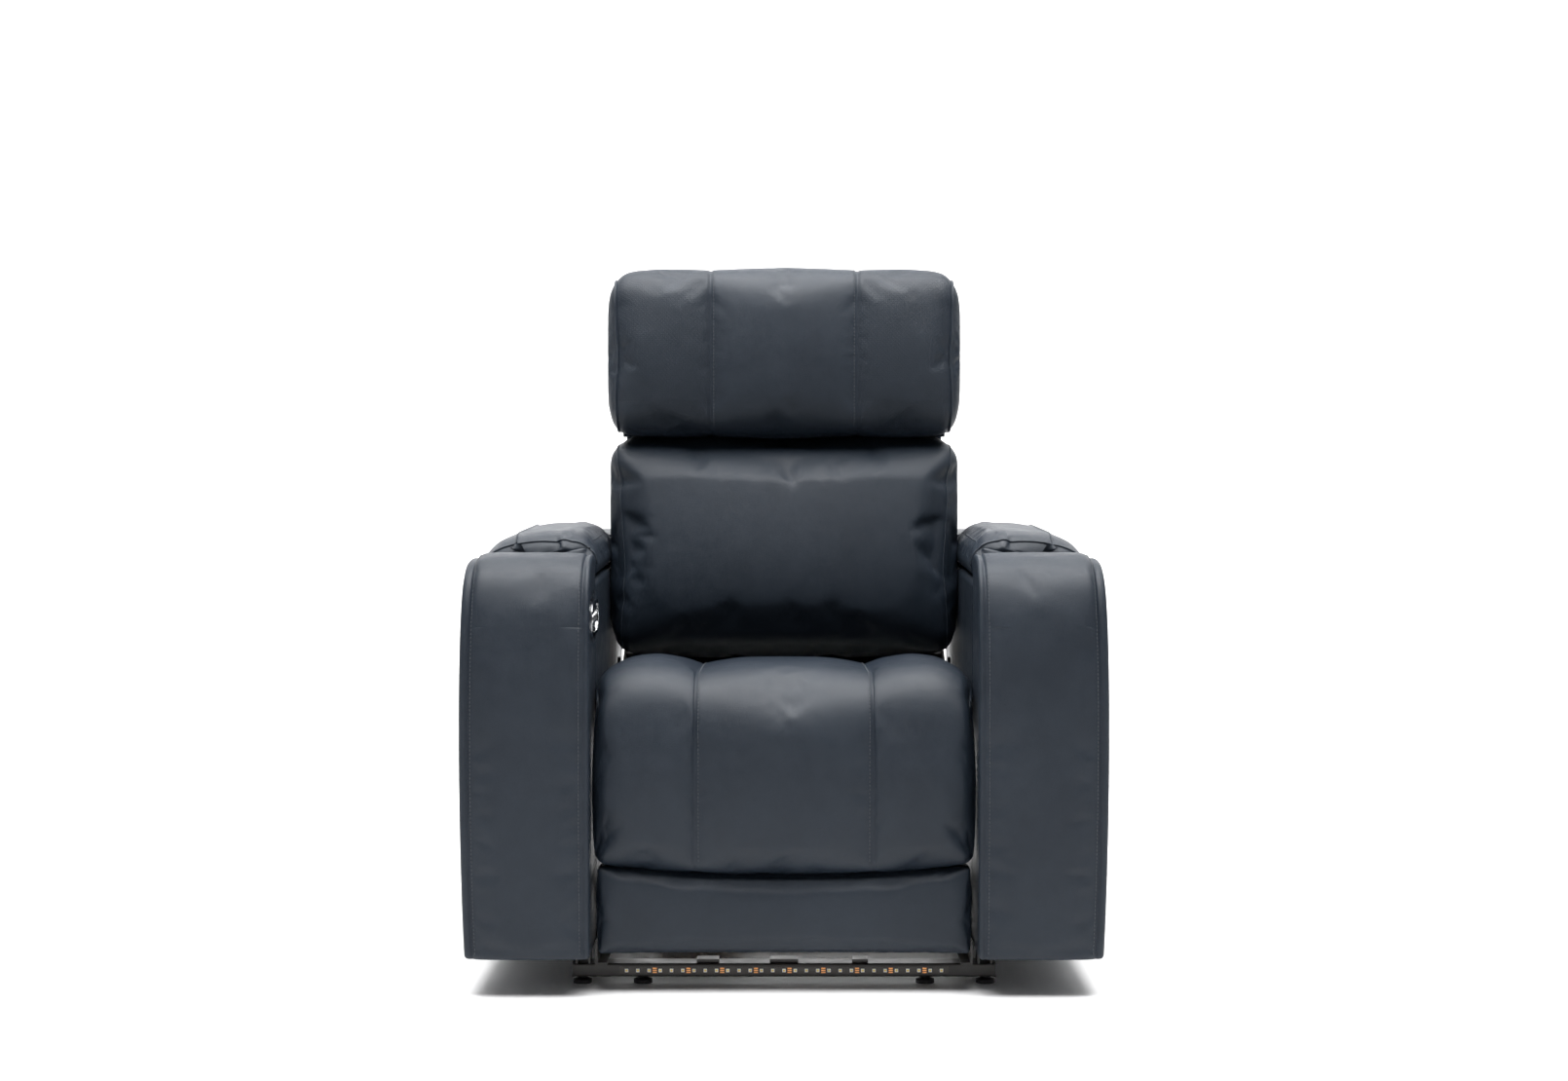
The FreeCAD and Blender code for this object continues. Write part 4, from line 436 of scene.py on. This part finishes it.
def puffed(item, held, pressure, slack, cap, side_limit=None, frames=20, stiffness=16.0, bending=0.6):
    """Fills a closed cushion by cloth simulation with pressure and no gravity.

    held is each point's hold, from 0 free to 1 fixed. slack is how much wider the cloth is cut than
    the shape, which is what makes it wrinkle at what holds it. No point moves further than the cap,
    and none goes further across than the side limit."""
    data = item.data
    start = read_points(data)
    group = item.vertex_groups.new(name="held")
    levels = np.round(np.clip(held, 0, 1) * 10).astype(int)
    for level in range(1, 11):
        group.add(np.nonzero(levels == level)[0].tolist(), level / 10, "REPLACE")
    cloth = item.modifiers.new("filling", "CLOTH")
    settings = cloth.settings
    settings.quality = 5
    settings.mass = 0.3
    settings.tension_stiffness = settings.compression_stiffness = stiffness
    settings.shear_stiffness = stiffness * 0.5
    settings.bending_stiffness = bending
    settings.use_pressure = True
    settings.uniform_pressure_force = pressure
    settings.vertex_group_mass = "held"
    settings.pin_stiffness = 1.0
    settings.shrink_min = -slack
    settings.effector_weights.gravity = 0.0
    cloth.collision_settings.use_collision = False
    cloth.point_cache.frame_start, cloth.point_cache.frame_end = 1, frames
    scene = bpy.context.scene
    for step in range(1, frames + 1):
        scene.frame_set(step)
    filled = item.evaluated_get(bpy.context.evaluated_depsgraph_get())
    moved = read_points(filled.data) - start
    item.modifiers.clear()
    item.vertex_groups.clear()
    scene.frame_set(1)
    far = np.linalg.norm(moved, axis=1, keepdims=True)
    moved *= np.minimum(1, cap / np.maximum(far, 1e-9))
    end = start + moved
    if side_limit is not None:
        end[:, 0] = np.clip(end[:, 0], -side_limit / 1000, side_limit / 1000)
    write_points(data, end)


def subdivided(item, levels=1):
    smooth = item.modifiers.new("smooth", "SUBSURF")
    smooth.levels = smooth.render_levels = levels
    return item


def station_points(item, shape, station, lift=0.0):
    """The points of one station's loop on a finished cushion, in metres, and their normals."""
    rows = slice(station * shape[1], (station + 1) * shape[1])
    points, normals = read_points(item.data)[rows], read_normals(item.data)[rows]
    return points + normals * lift, normals


def even_along(points, normals, pitch, closed=False):
    """Points at even steps along a line, with the normals there and the line's direction."""
    if closed:
        points, normals = np.vstack([points, points[:1]]), np.vstack([normals, normals[:1]])
    run = np.concatenate([[0], np.cumsum(np.linalg.norm(np.diff(points, axis=0), axis=1))])
    where = np.arange(pitch * 0.7, run[-1] - pitch * 0.3, pitch)

    def at(s, values):
        return np.stack([np.interp(s, run, values[:, i]) for i in range(3)], -1)

    before, after = np.clip(where - pitch * 0.3, 0, run[-1]), np.clip(where + pitch * 0.3, 0, run[-1])
    ahead = at(after, points) - at(before, points)
    ahead /= np.maximum(np.linalg.norm(ahead, axis=1, keepdims=True), 1e-9)
    normal = at(where, normals)
    normal -= ahead * (normal * ahead).sum(1, keepdims=True)
    normal /= np.maximum(np.linalg.norm(normal, axis=1, keepdims=True), 1e-9)
    return at(where, points), normal, ahead


def stitches(name, lines, body, pitch=0.0058, length=0.0042, thick=0.00055):
    """Rows of thread dashes: each is a five-sided spindle lying on the leather, its ends sunk in.

    A spindle's point is centre + along cos-shaped length + ring of thick radius narrowing to its ends."""
    rings = np.array([-1.0, -0.6, 0.0, 0.6, 1.0])
    width = np.array([0.35, 0.9, 1.0, 0.9, 0.35])
    sink = np.array([-1.0, 0.1, 0.45, 0.1, -1.0])
    turn = np.linspace(0, 2 * math.pi, 5, endpoint=False)
    centres, normals, aheads = [np.vstack(v) for v in zip(*[even_along(p, n, pitch) for p, n in lines])]
    sides = np.cross(aheads, normals)
    shape = (len(centres), len(rings), len(turn), 3)
    points = (centres[:, None, None] + aheads[:, None, None] * (rings * length / 2)[None, :, None, None]
              + normals[:, None, None] * (sink * thick)[None, :, None, None]
              + normals[:, None, None] * (width[:, None] * thick * np.cos(turn))[None, :, :, None]
              + sides[:, None, None] * (width[:, None] * thick * np.sin(turn))[None, :, :, None])
    points = np.broadcast_to(points, shape).reshape(-1, 3)
    m, r = len(turn), len(rings)
    i, j = np.meshgrid(np.arange(r - 1), np.arange(m), indexing="ij")
    k = (j + 1) % m
    quads = np.stack([i * m + j, i * m + k, (i + 1) * m + k, (i + 1) * m + j], -1).reshape(-1, 4)
    ends = np.array([[4, 3, 2, 1, 0], [(r - 1) * m + k for k in range(m)]])
    offsets = np.arange(len(centres)) * m * r
    faces = (quads[None] + offsets[:, None, None]).reshape(-1, 4).tolist()
    faces += (ends[None] + offsets[:, None, None]).reshape(-1, 5).tolist()
    item = mesh_object(name, points * 1000 - (0, Y_FRONT, 0), faces)
    item.data.materials.append(finishes["thread"])
    if body:
        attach(item, body)
    return item


def piping(name, points, normals, body, radius=0.0016, closed=True, proud=0.3, sides=8, finish="leather"):
    """A welt along a seam: a round cord of the radius, standing proud of the leather by a share of it."""
    where, normal, ahead = even_along(points, normals, 0.006, closed)
    side = np.cross(ahead, normal)
    turn = np.linspace(0, 2 * math.pi, sides, endpoint=False)
    ring = (where + normal * radius * proud)[:, None] + radius * (
        normal[:, None] * np.cos(turn)[:, None] + side[:, None] * np.sin(turn)[:, None])
    grid = ring * 1000 - (0, Y_FRONT, 0)
    if closed:
        grid = np.concatenate([grid, grid[:1]])
    item = closed_mesh(name, grid, caps=not closed)
    item.data.materials.append(finishes[finish])
    if body:
        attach(item, body)
    return item


def eased(value, low, high):
    t = np.clip((value - low) / (high - low), 0, 1)
    return t * t * (3 - 2 * t)


# Seat and footrest: one padded cover over the seat and the footrest's pad, and a cover for the footrest's
# panel

def seat_rise(x):
    """How far the seat stands over its middle line: a crown between the seams, a lobe outside each."""
    across = np.abs(x)
    middle = 3.0 * np.cos(math.pi * across / SEAM_X / 2) - 3.0 - 2.5 * (across / SEAM_X) ** 12
    share = np.clip((across - SEAM_X) / (SEAT_HALF - SEAM_X), 0, 1)
    lobe = 11.0 * np.sin(math.pi * share) ** 0.8 - 2.5 * (1 - share) ** 12 - 3.0 - 12.0 * share ** 6
    return np.where(across <= SEAM_X, middle, lobe)


def across_grid(x, loops):
    """A grid of points from side-view loops, each at its place across."""
    return np.concatenate([np.broadcast_to(x[:, None, None], loops.shape[:2] + (1,)), loops], -1)


def side_corners(*corners):
    """Corner arrays (stations, k, 2) from depth and height values, each one number or one per station."""
    n = max(np.size(v) for c in corners for v in c)
    return np.stack([np.stack([np.broadcast_to(v, n) for v in c], -1) for c in corners], 1).astype(float)


def in_mm(item):
    """A piece's points as (across, depth, height) in millimetres."""
    return read_points(item.data) * 1000 - (0, Y_FRONT, 0)


def near_seam(x, seam, width=3.0):
    return np.exp(-((np.abs(x) - seam) / width) ** 2)


def seam_stations(x, places):
    """The stations whose place across is nearest each value."""
    return [int(np.argmin(np.abs(x - p))) for p in places]


def pick_lines(item, shape, stations, keep, lift=0.0002):
    """Lines for stitches along some stations' loops, where keep(depth, height) holds."""
    lines = []
    for station in stations:
        points, normals = station_points(item, shape, station, lift)
        chosen = keep(points[:, 1] * 1000 - Y_FRONT, points[:, 2] * 1000)
        turn = int(np.argmax(~chosen & np.roll(chosen, -1))) + 1
        order = np.roll(np.arange(len(points)), -turn)
        order = order[chosen[order]]
        lines.append((points[order], normals[order]))
    return lines


def make_seat():
    half = SEAT_HALF - 1.0
    x, amount, share = end_rounding(half, 15.0, seam_places(half - 16, [SEAM_X], 9.0), dome=2.0)
    wide = np.clip(np.abs(x) / half, 0, 1)
    rise = seat_rise(np.clip(x, -half, half)) - 2.0
    front = SEAT_FRONT + 3.0 + 2.0 * near_seam(x, SEAM_X, 4.0)
    low = PAD_LOW + 1.0 - 13.0 * (1 - wide ** 2)
    corners = side_corners((front, low), (PAD_BACK - 1, low), (PAD_BACK - 1, SEAT_UNDER + 1),
                           (SEAT_REAR - 2, SEAT_UNDER + 1), (SEAT_REAR - 2, SEAT_TOP - SEAT_FALL + rise + 1),
                           (front, SEAT_TOP + rise))
    loops = rounded_loop(corners, (24, 8, 6, 14, 26, 104), (6, 22, 44, 6, 44, 20), (0, 0, 0, 0, 2.5, 3.5),
                         (7, 4, 4, 4, 7, 22))
    grid = across_grid(x, drawn_in(loops, amount, share, np.array((66.0, 425.0))))
    # the corner folds: a pointed tip where the top turns down, and a pocket drawn in below it
    depth, height = grid[..., 1], grid[..., 2]
    edge = eased(np.abs(grid[..., 0]), half - 60, half)
    tip = np.exp(-((height - 466) / 9) ** 2) * np.exp(-((depth - 66) / 30) ** 2)
    pocket = np.exp(-((height - 436) / 13) ** 2) * np.exp(-((depth - 34) / 26) ** 2)
    grid[..., 0] += np.sign(grid[..., 0]) * edge * (3.5 * tip - 6.5 * pocket)
    cover = closed_mesh("seat_cover", grid)
    points = in_mm(cover)
    under = eased(-points[:, 2], -SEAT_UNDER - 14, -SEAT_UNDER - 4) * (points[:, 1] > PAD_BACK + 6)
    behind = (np.abs(points[:, 1] - PAD_BACK) < 4) * (points[:, 2] < SEAT_UNDER)
    rear = eased(points[:, 1], SEAT_REAR - 40, SEAT_REAR - 8)
    held = np.maximum.reduce([near_seam(points[:, 0], SEAM_X) * 0.7, under, behind, rear])
    puffed(cover, held, 2.4, 0.006, 0.007, SEAT_HALF + 4.5)
    cover.data.materials.append(finishes["leather"])
    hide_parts("seat_cushion", "footrest_pad")
    shape = grid.shape[:2]

    def shown(depth, height):
        return ((height > 425) & (depth < 470)) | ((depth < 60) & (height > PAD_LOW + 6))

    lines = pick_lines(cover, shape, seam_stations(x, (-SEAM_X + 5.5, SEAM_X - 5.5)), shown)
    thread = stitches("seat_stitches", lines, None)
    subdivided(cover)
    for piece in (cover, thread):
        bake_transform(piece)


def make_foot_panel():
    half = SEAT_HALF - 3.0
    x, amount, share = end_rounding(half, 9.0, np.linspace(-half + 10, half - 10, 60), dome=1.5)
    wide = np.clip(np.abs(x) / half, 0, 1)
    top = PAD_LOW - 1.0 - 13.0 * (1 - wide ** 2)
    corners = side_corners((SEAT_FRONT + 12, PANEL_LOW), (PAD_BACK - 2, PANEL_LOW), (PAD_BACK - 2, top),
                           (SEAT_FRONT + 12, top))
    loops = rounded_loop(corners, (9, 5, 5, 10), (8, 18, 8, 22), (0, 0, 0, 2.5), (5, 4, 4, 5))
    grid = across_grid(x, drawn_in(loops, amount, share, np.array((60.0, 118.0))))
    panel = closed_mesh("foot_panel_cover", grid)
    points = in_mm(panel)
    puffed(panel, eased(points[:, 1], SEAT_FRONT + 22, SEAT_FRONT + 40), 2.0, 0.006, 0.005, SEAT_HALF + 2)
    panel.data.materials.append(finishes["leather"])
    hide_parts("footrest_panel")
    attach(subdivided(panel), "footrest")


def frame_face(height):
    """Depth of the back frame's sloping front face at a height."""
    return 585.2 + (height - 278.6) * 0.1944


def make_back_cushion():
    middle = np.linspace(-BACK_WIDE + 27, BACK_WIDE - 27, 56)
    x, amount, share = end_rounding(BACK_WIDE, 26.0, middle, dome=4.0)
    wide = np.clip(np.abs(x) / BACK_WIDE, 0, 1)
    crown = 16.0 * (1 - wide ** 2)
    corners = side_corners((BACK_FRONT + 42 - crown * 0.3, BACK_LOW), (frame_face(BACK_LOW) - 2, BACK_LOW),
                           (frame_face(BACK_HIGH) - 14, BACK_HIGH - 2 * wide ** 4),
                           (BACK_FRONT + 62 - crown * 0.5, BACK_HIGH - 2 * wide ** 4))
    loops = rounded_loop(corners, (44, 14, 40, 46), (12, 26, 14, 34), (2, 0, 2, 5), (10, 5, 8, 10))
    # the face is fullest low down, at the small of the back, and leans away above it
    up = np.clip((loops[..., 1] - BACK_LOW) / (BACK_HIGH - BACK_LOW), 0, 1)
    loops[..., 0] -= (16 + crown * 0.8)[:, None] * np.sin(math.pi * up ** 0.65) * (loops[..., 0] < 525)
    grid = across_grid(x, drawn_in(loops, amount, share, np.array((540.0, 630.0))))
    narrow = BACK_WAIST / BACK_WIDE
    grid[..., 0] *= narrow + (1 - narrow) * eased(grid[..., 2], 590, 700)
    cushion = closed_mesh("back_cushion_cover", grid)
    points = in_mm(cushion)
    rear = eased(points[:, 1] - frame_face(points[:, 2]), -40, -6)
    puffed(cushion, rear, 3.4, 0.011, 0.012, BACK_WIDE + 3)
    cushion.data.materials.append(finishes["leather"])
    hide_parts("back_cushion")
    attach(subdivided(cushion), "back")
    # the side seams of the cushion's face, each under a thin welt
    for side, name in ((-1, "left"), (1, "right")):
        station = seam_stations(x, (side * (BACK_WIDE - 9.5),))[0]
        points, normals = station_points(cushion, grid.shape[:2], station)
        piping("back_welt_" + name, points, normals, "back", 0.0013, True, 0.1)


def make_headrest():
    half = HEAD_HALF
    x, amount, share = end_rounding(half, 30.0, seam_places(half - 31, [HEAD_SEAM], 9.0), turns=11, dome=4.0)
    wide = np.clip(np.abs(x) / half, 0, 1)
    sink = 2.6 * near_seam(x, HEAD_SEAM, 4.0)
    front, rear = HEAD_FRONT + 2.0 + sink, HEAD_FRONT + HEAD_THICK - 1.5
    top = HEAD_TOP - 2.0 * wide ** 2 - 0.6 * sink - 1.0
    top -= 17.0 * np.clip((np.abs(x) - half + 52) / 52, 0, 1) ** 2.2
    corners = side_corners((front, HEAD_LOW + 1), (rear, HEAD_LOW + 1), (rear, top - 6), (front + 4, top))
    loops = rounded_loop(corners, (50, 20, 28, 54), (6, 26, 6, 30), (0, 0, 0, 5.0), (12, 6, 8, 14))
    grid = across_grid(x, drawn_in(loops, amount * 0.86, share, np.array((530.0, 930.0))))
    # the lower corners are tucked further in than the upper ones
    low_end = eased(-grid[..., 2], -HEAD_LOW - 60, -HEAD_LOW) * eased(np.abs(grid[..., 0]), half - 40, half)
    grid[..., 0] -= np.sign(grid[..., 0]) * 5.0 * low_end
    head = closed_mesh("headrest_cover", grid)
    points = in_mm(head)
    back = eased(points[:, 1], HEAD_FRONT + 96, HEAD_FRONT + 122)
    seam = near_seam(points[:, 0], HEAD_SEAM) * 0.75
    puffed(head, np.maximum(back, seam), 2.8, 0.004, 0.007, half + 3)
    # the map for the holes: place across, and length along the loop, in metres
    ring = read_points(head.data)[:grid.shape[0] * grid.shape[1]].reshape(*grid.shape[:2], 3)
    along = np.concatenate([np.zeros((grid.shape[0], 1)),
                            np.cumsum(np.linalg.norm(np.diff(ring[..., 1:], axis=1), axis=-1), 1)], 1)
    middle = along[grid.shape[0] // 2][None]
    flat = np.stack([ring[..., 0], np.broadcast_to(middle, along.shape)], -1).reshape(-1, 2)
    flat = np.vstack([flat, flat[:1], flat[-1:]])
    layer = head.data.uv_layers.new(name="along")
    corner = np.zeros(len(head.data.loops), int)
    head.data.loops.foreach_get("vertex_index", corner)
    layer.data.foreach_set("uv", flat[corner].astype(np.float32).ravel())
    head.data.materials.append(finishes["leather"])
    head.data.materials.append(finishes["perforated"])
    centre = np.zeros(len(head.data.polygons) * 3)
    head.data.polygons.foreach_get("center", centre)
    centre = centre.reshape(-1, 3) * 1000 - (0, Y_FRONT, 0)
    panel = (np.abs(centre[:, 0]) > HEAD_SEAM + 1) & (np.abs(centre[:, 0]) < half - 14) & (
        (centre[:, 1] < HEAD_FRONT + 60) & (centre[:, 2] > HEAD_LOW + 6))
    head.data.polygons.foreach_set("material_index", panel.astype(np.int32))
    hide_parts("headrest_cushion")
    shape = grid.shape[:2]

    def shown(depth, height):
        return ((depth < HEAD_FRONT + 52) & (height > HEAD_LOW + 12)) | (height > HEAD_TOP - 40)

    lines = pick_lines(head, shape, seam_stations(x, (-HEAD_SEAM + 5.5, HEAD_SEAM - 5.5)), shown)
    stitches("headrest_stitches", lines, "headrest")
    for side, name in ((-1, "left"), (1, "right")):
        station = seam_stations(x, (side * (half - 9.0),))[0]
        points, normals = station_points(head, shape, station)
        piping("headrest_welt_" + name, points, normals, "headrest", 0.0022, True, 0.25)
    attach(subdivided(head), "headrest")


make_seat()
make_foot_panel()
make_back_cushion()
make_headrest()


# Arms: the rolled front band between two seams, and the lids

ARM_MIDDLE = (ARM_INNER + ARM_OUTER + BULGE) / 2
BAND_SEAMS = (287.0, 459.0)
# where the band's sides are drawn in, a little within its seams, and how deep and wide those grooves are
BAND_GROOVES, GROOVE_DEPTH, GROOVE_WIDTH = (BAND_SEAMS[0] + 4.5, BAND_SEAMS[1] - 8), 2.2, 2.6
# the dish for the control panel: its middle in depth and height, its half length and width, how deep it is
DISH_DEPTH, DISH_HEIGHT, DISH_LONG, DISH_WIDE, DISH_SUNK = 122, 545, 74, 29, 11.6


def arm_x(share, height):
    """Place across an arm, for a share from 0 at its inner face to 1 outside, bulging at mid height."""
    out = BULGE * np.sin(math.pi * np.clip((height - ARM_UNDER + 10) / 640, 0, 1)) ** 0.7
    return ARM_INNER + share * (ARM_OUTER - ARM_INNER + out)


def make_arm_front(side, name):
    """A padded panel over the arm's front and top, its sides drawn in along two seams."""
    width = ARM_OUTER - ARM_INNER
    half = width / 2
    fine = (0.0, 0.9, 1.8, 3.0, 4.6, 7.0, 11.0)
    middle = np.unique(np.round(np.concatenate([np.linspace(-half + 8, half - 8, 26)] + [
        np.array([s - half - ARM_INNER + sign * f for sign in (1, -1) for f in fine])
        for s in BAND_GROOVES]), 2))
    middle = middle[(middle > -half + 7.9) & (middle < half - 7.9)]
    x, amount, share = end_rounding(half, 6.0, middle, turns=6, fills=28, dome=0.0)
    seams = [s - half - ARM_INNER for s in BAND_GROOVES]
    groove = sum(np.exp(-((x - s) / GROOVE_WIDTH) ** 2) for s in seams)
    puff = 2.4 * (1 - np.clip(np.abs(x - sum(seams) / 2) / 78, 0, 1) ** 4)
    top = ARM_TOP - 5.0 + puff - GROOVE_DEPTH * groove - 7.0 * eased(x, half - 26, half)
    front = 3.0 - puff + GROOVE_DEPTH * groove + 5.0 * eased(x, half - 30, half)
    rear, under = BAND_DEPTH - 0.5, ARM_UNDER + 1
    corners = side_corners((front, under), (rear, under), (rear, top - 5), (BAND_ROUND, top),
                           (62 + front, top - 7), (17 + front, top - 45), (front, ARM_TOP - BAND_ROUND - 35))
    radii, edges, turns = (9, 3, 10, 30, 60, 80, 110), (10, 50, 3, 8, 3, 3, 38), (7, 4, 4, 6, 8, 10, 10)
    loops = rounded_loop(corners, radii, edges, (0, 0, 0, 0, 0, 0, 1.0), turns)
    loops = drawn_in(loops, amount, share, np.array((84.0, 330.0)))
    grid = across_grid(x, loops)
    grid[..., 0] = side * arm_x((grid[..., 0] + half) / width, grid[..., 2])
    if side < 0:
        # the dish that the control panel is set in
        along, up = (grid[..., 1] - DISH_DEPTH) / DISH_LONG, (grid[..., 2] - DISH_HEIGHT) / DISH_WIDE
        near = along ** 4 + up ** 4
        inner = np.abs(grid[..., 0]) < ARM_INNER + 9
        grid[..., 0] -= np.where(inner, DISH_SUNK * eased(-near, -1.25, -0.95), 0)
        grid = grid[:, ::-1]
    cover = closed_mesh("arm_front_cover_" + name, grid)
    points = in_mm(cover)
    across = np.abs(points[:, 0])
    sides = np.maximum(eased(across, BAND_SEAMS[1] - 16, BAND_SEAMS[1] - 6), eased(-across, -294, -288))
    puffed(cover, np.maximum.reduce([sides, eased(points[:, 1], 128, 150), eased(-points[:, 2], -76, -62)]),
           1.6, 0.006, 0.003)
    cover.data.materials.append(finishes["leather"])
    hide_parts("arm_front_" + name)

    def shown(depth, height):
        return ((depth < 60) | (height > 480)) & (depth < BAND_DEPTH - 6) & (height > ARM_UNDER + 6)

    beside = [int(np.argmin(np.abs(x - s - d))) for s, d in zip(seams, (4.0, -4.0))]
    lines = pick_lines(cover, grid.shape[:2], beside, shown)
    stitches("arm_stitches_" + name, lines, "base")
    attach(subdivided(cover), "base")


def lid_section():
    """Corners and radii of the lid's front-view outline."""
    inner, outer, low, crown = ARM_INNER - 2.5, ARM_OUTER + 2.5, LID_SEAT + 4.0, LID_CROWN
    return (np.array([(inner + 7, low), (outer, low), (outer - 1, low + 16), (outer - 36, crown - 12),
                      (outer - 92, crown + 1.0), (inner + 22, crown - 1.5), (inner, crown - 24),
                      (inner, low + 14)], float),
            (7, 3, 18, 34, 34, 16, 20, 12))


def make_lid(side, name):
    """A lid's cover: its front-view outline carried back along the arm, rounded over at both ends.

    Seen from the front the outline is a bullnose inside, a low crown and a long fall outside."""
    half = LID_LENGTH / 2
    depth, amount, share = end_rounding(half, 14.0, np.linspace(-half + 15, half - 15, 44),
                                        turns=8, fills=8, dome=1.0)
    place = depth + LID_START + LID_LENGTH / 2
    corners, radii = lid_section()
    corners = np.broadcast_to(corners, (len(depth), 8, 2)).copy()
    loops = rounded_loop(corners, radii, (36, 3, 5, 8, 12, 3, 3, 2), (0, 0, 1.5, 3.0, 2.0, 1.0, 0, 0),
                         (4, 3, 6, 8, 8, 6, 6, 5))
    # the crown lies lower towards the front and the rear, where the cover is drawn over the board
    end = LID_START + LID_LENGTH
    fall = 9.0 * eased(-place, -(LID_START + 70), -LID_START) + 6.0 * eased(place, end - 60, end)
    high = np.clip((loops[..., 1] - LID_SEAT - 6) / (LID_CROWN - LID_SEAT - 6), 0, 1)
    loops[..., 1] -= fall[:, None] * high
    centre = np.array((ARM_MIDDLE, LID_SEAT + 30.0))
    loops = drawn_in(loops, amount * 0.9, share, centre)
    loops[..., 1] = np.maximum(loops[..., 1], LID_SEAT + 4.0)
    # the underside is hollow over the board: its points rise to the board's face
    across, height = loops[..., 0], loops[..., 1]
    under = (height < LID_SEAT + 4.6) & (across > ARM_INNER + 11) & (across < ARM_OUTER - 6)
    under &= ((place > LID_START + 12) & (place < end - 10))[:, None]
    loops[..., 1] = np.where(under, LID_SEAT + 20.5, height)
    grid = np.stack([side * loops[..., 0], np.broadcast_to(place[:, None], across.shape), loops[..., 1]], -1)
    if side > 0:
        grid = grid[:, ::-1]
    cover = closed_mesh("lid_cover_" + name, grid)
    points = in_mm(cover)
    hold = eased(-points[:, 2], -(LID_SEAT + 26), -(LID_SEAT + 10))
    puffed(cover, hold, 2.4, 0.005, 0.005, 480)
    cover.data.materials.append(finishes["leather"])
    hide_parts("arm_lid_" + name)
    # the welt runs over the lid's front end, on its shoulder
    shape = grid.shape[:2]
    station = int(np.argmin(np.abs(place - (LID_START + 8))))

    def shown(depth, height):
        return height > LID_SEAT + 16

    welt = pick_lines(cover, shape, [station], shown, 0.0)[0]
    piping("lid_welt_" + name, welt[0], welt[1], "lid_" + name, 0.0016, False, 0.25)
    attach(subdivided(cover), "lid_" + name)


for side, name in ((-1, "left"), (1, "right")):
    make_arm_front(side, name)
    make_lid(side, name)


# Stage, light and camera

def finish_floor():
    material, tree, shader, where = start_finish("pale_floor", 0.55, 0.0, (0.86, 0.86, 0.86))
    tree.links.new(between(tree, noise(tree, where, 1.2, 3.0), (0.84, 0.84, 0.845), (0.88, 0.88, 0.88)),
                   shader.inputs["Base Color"])
    return material


def make_stage():
    """A pale floor that curves up into a wall well behind the chair: a profile carried across."""
    turn = np.linspace(0, math.pi / 2, 16)
    depth = np.concatenate([[-9.0], 3.4 + 2.0 * np.sin(turn), [5.4]])
    height = np.concatenate([[0.0], 2.0 * (1 - np.cos(turn)), [9.0]])
    across = np.array([-11.0, 11.0])
    points = np.stack([np.repeat(across, len(depth)), np.tile(depth, 2), np.tile(height, 2)], -1)
    n = len(depth)
    faces = [[i, i + n, i + n + 1, i + 1] for i in range(n - 1)]
    data = bpy.data.meshes.new("floor")
    data.from_pydata(points.tolist(), [], faces)
    data.shade_smooth()
    floor = bpy.data.objects.new("floor", data)
    bpy.context.scene.collection.objects.link(floor)
    floor.data.materials.append(finish_floor())


def soft_light(name, place, target, width, height, power, colour=(1, 1, 1)):
    lamp = bpy.data.lights.new(name, "AREA")
    lamp.shape, lamp.size, lamp.size_y, lamp.energy, lamp.color = "RECTANGLE", width, height, power, colour
    item = bpy.data.objects.new(name, lamp)
    bpy.context.scene.collection.objects.link(item)
    item.location = place
    direction = np.array(target, float) - np.array(place, float)
    item.rotation_mode = "QUATERNION"
    item.rotation_quaternion = Vector(direction).to_track_quat("-Z", "Y")


make_stage()
soft_light("light_above", (0.0, -0.7, 3.4), (0.0, 0.0, 0.5), 3.6, 2.6, 330)
soft_light("light_left", (-3.6, -2.0, 1.9), (0.0, 0.0, 0.5), 1.6, 2.6, 8)
soft_light("light_right", (3.6, -2.0, 1.9), (0.0, 0.0, 0.5), 1.6, 2.6, 8)
soft_light("light_backdrop", (0.0, 1.6, 4.6), (0.0, 4.9, 1.2), 8.0, 1.2, 520)
world = bpy.data.worlds.new("studio")
world.use_nodes = True
world.node_tree.nodes["Background"].inputs["Color"].default_value = (1.0, 1.0, 1.0, 1.0)
world.node_tree.nodes["Background"].inputs["Strength"].default_value = 0.12
bpy.context.scene.world = world
bpy.context.scene.view_settings.view_transform = "Standard"

# The photograph's view: four metres before the arms, eyes at 0.84 m, looking 2.5 degrees down
camera = bpy.data.cameras.new("camera")
camera.sensor_width = 36.0
camera.lens = 36.0 * 2860 / 1610
view = bpy.data.objects.new("camera", camera)
bpy.context.scene.collection.objects.link(view)
view.location = (0.0, -4.44, 0.839)
view.rotation_euler = (math.radians(90 - 2.5), math.radians(0.0), 0.0)
bpy.context.scene.camera = view
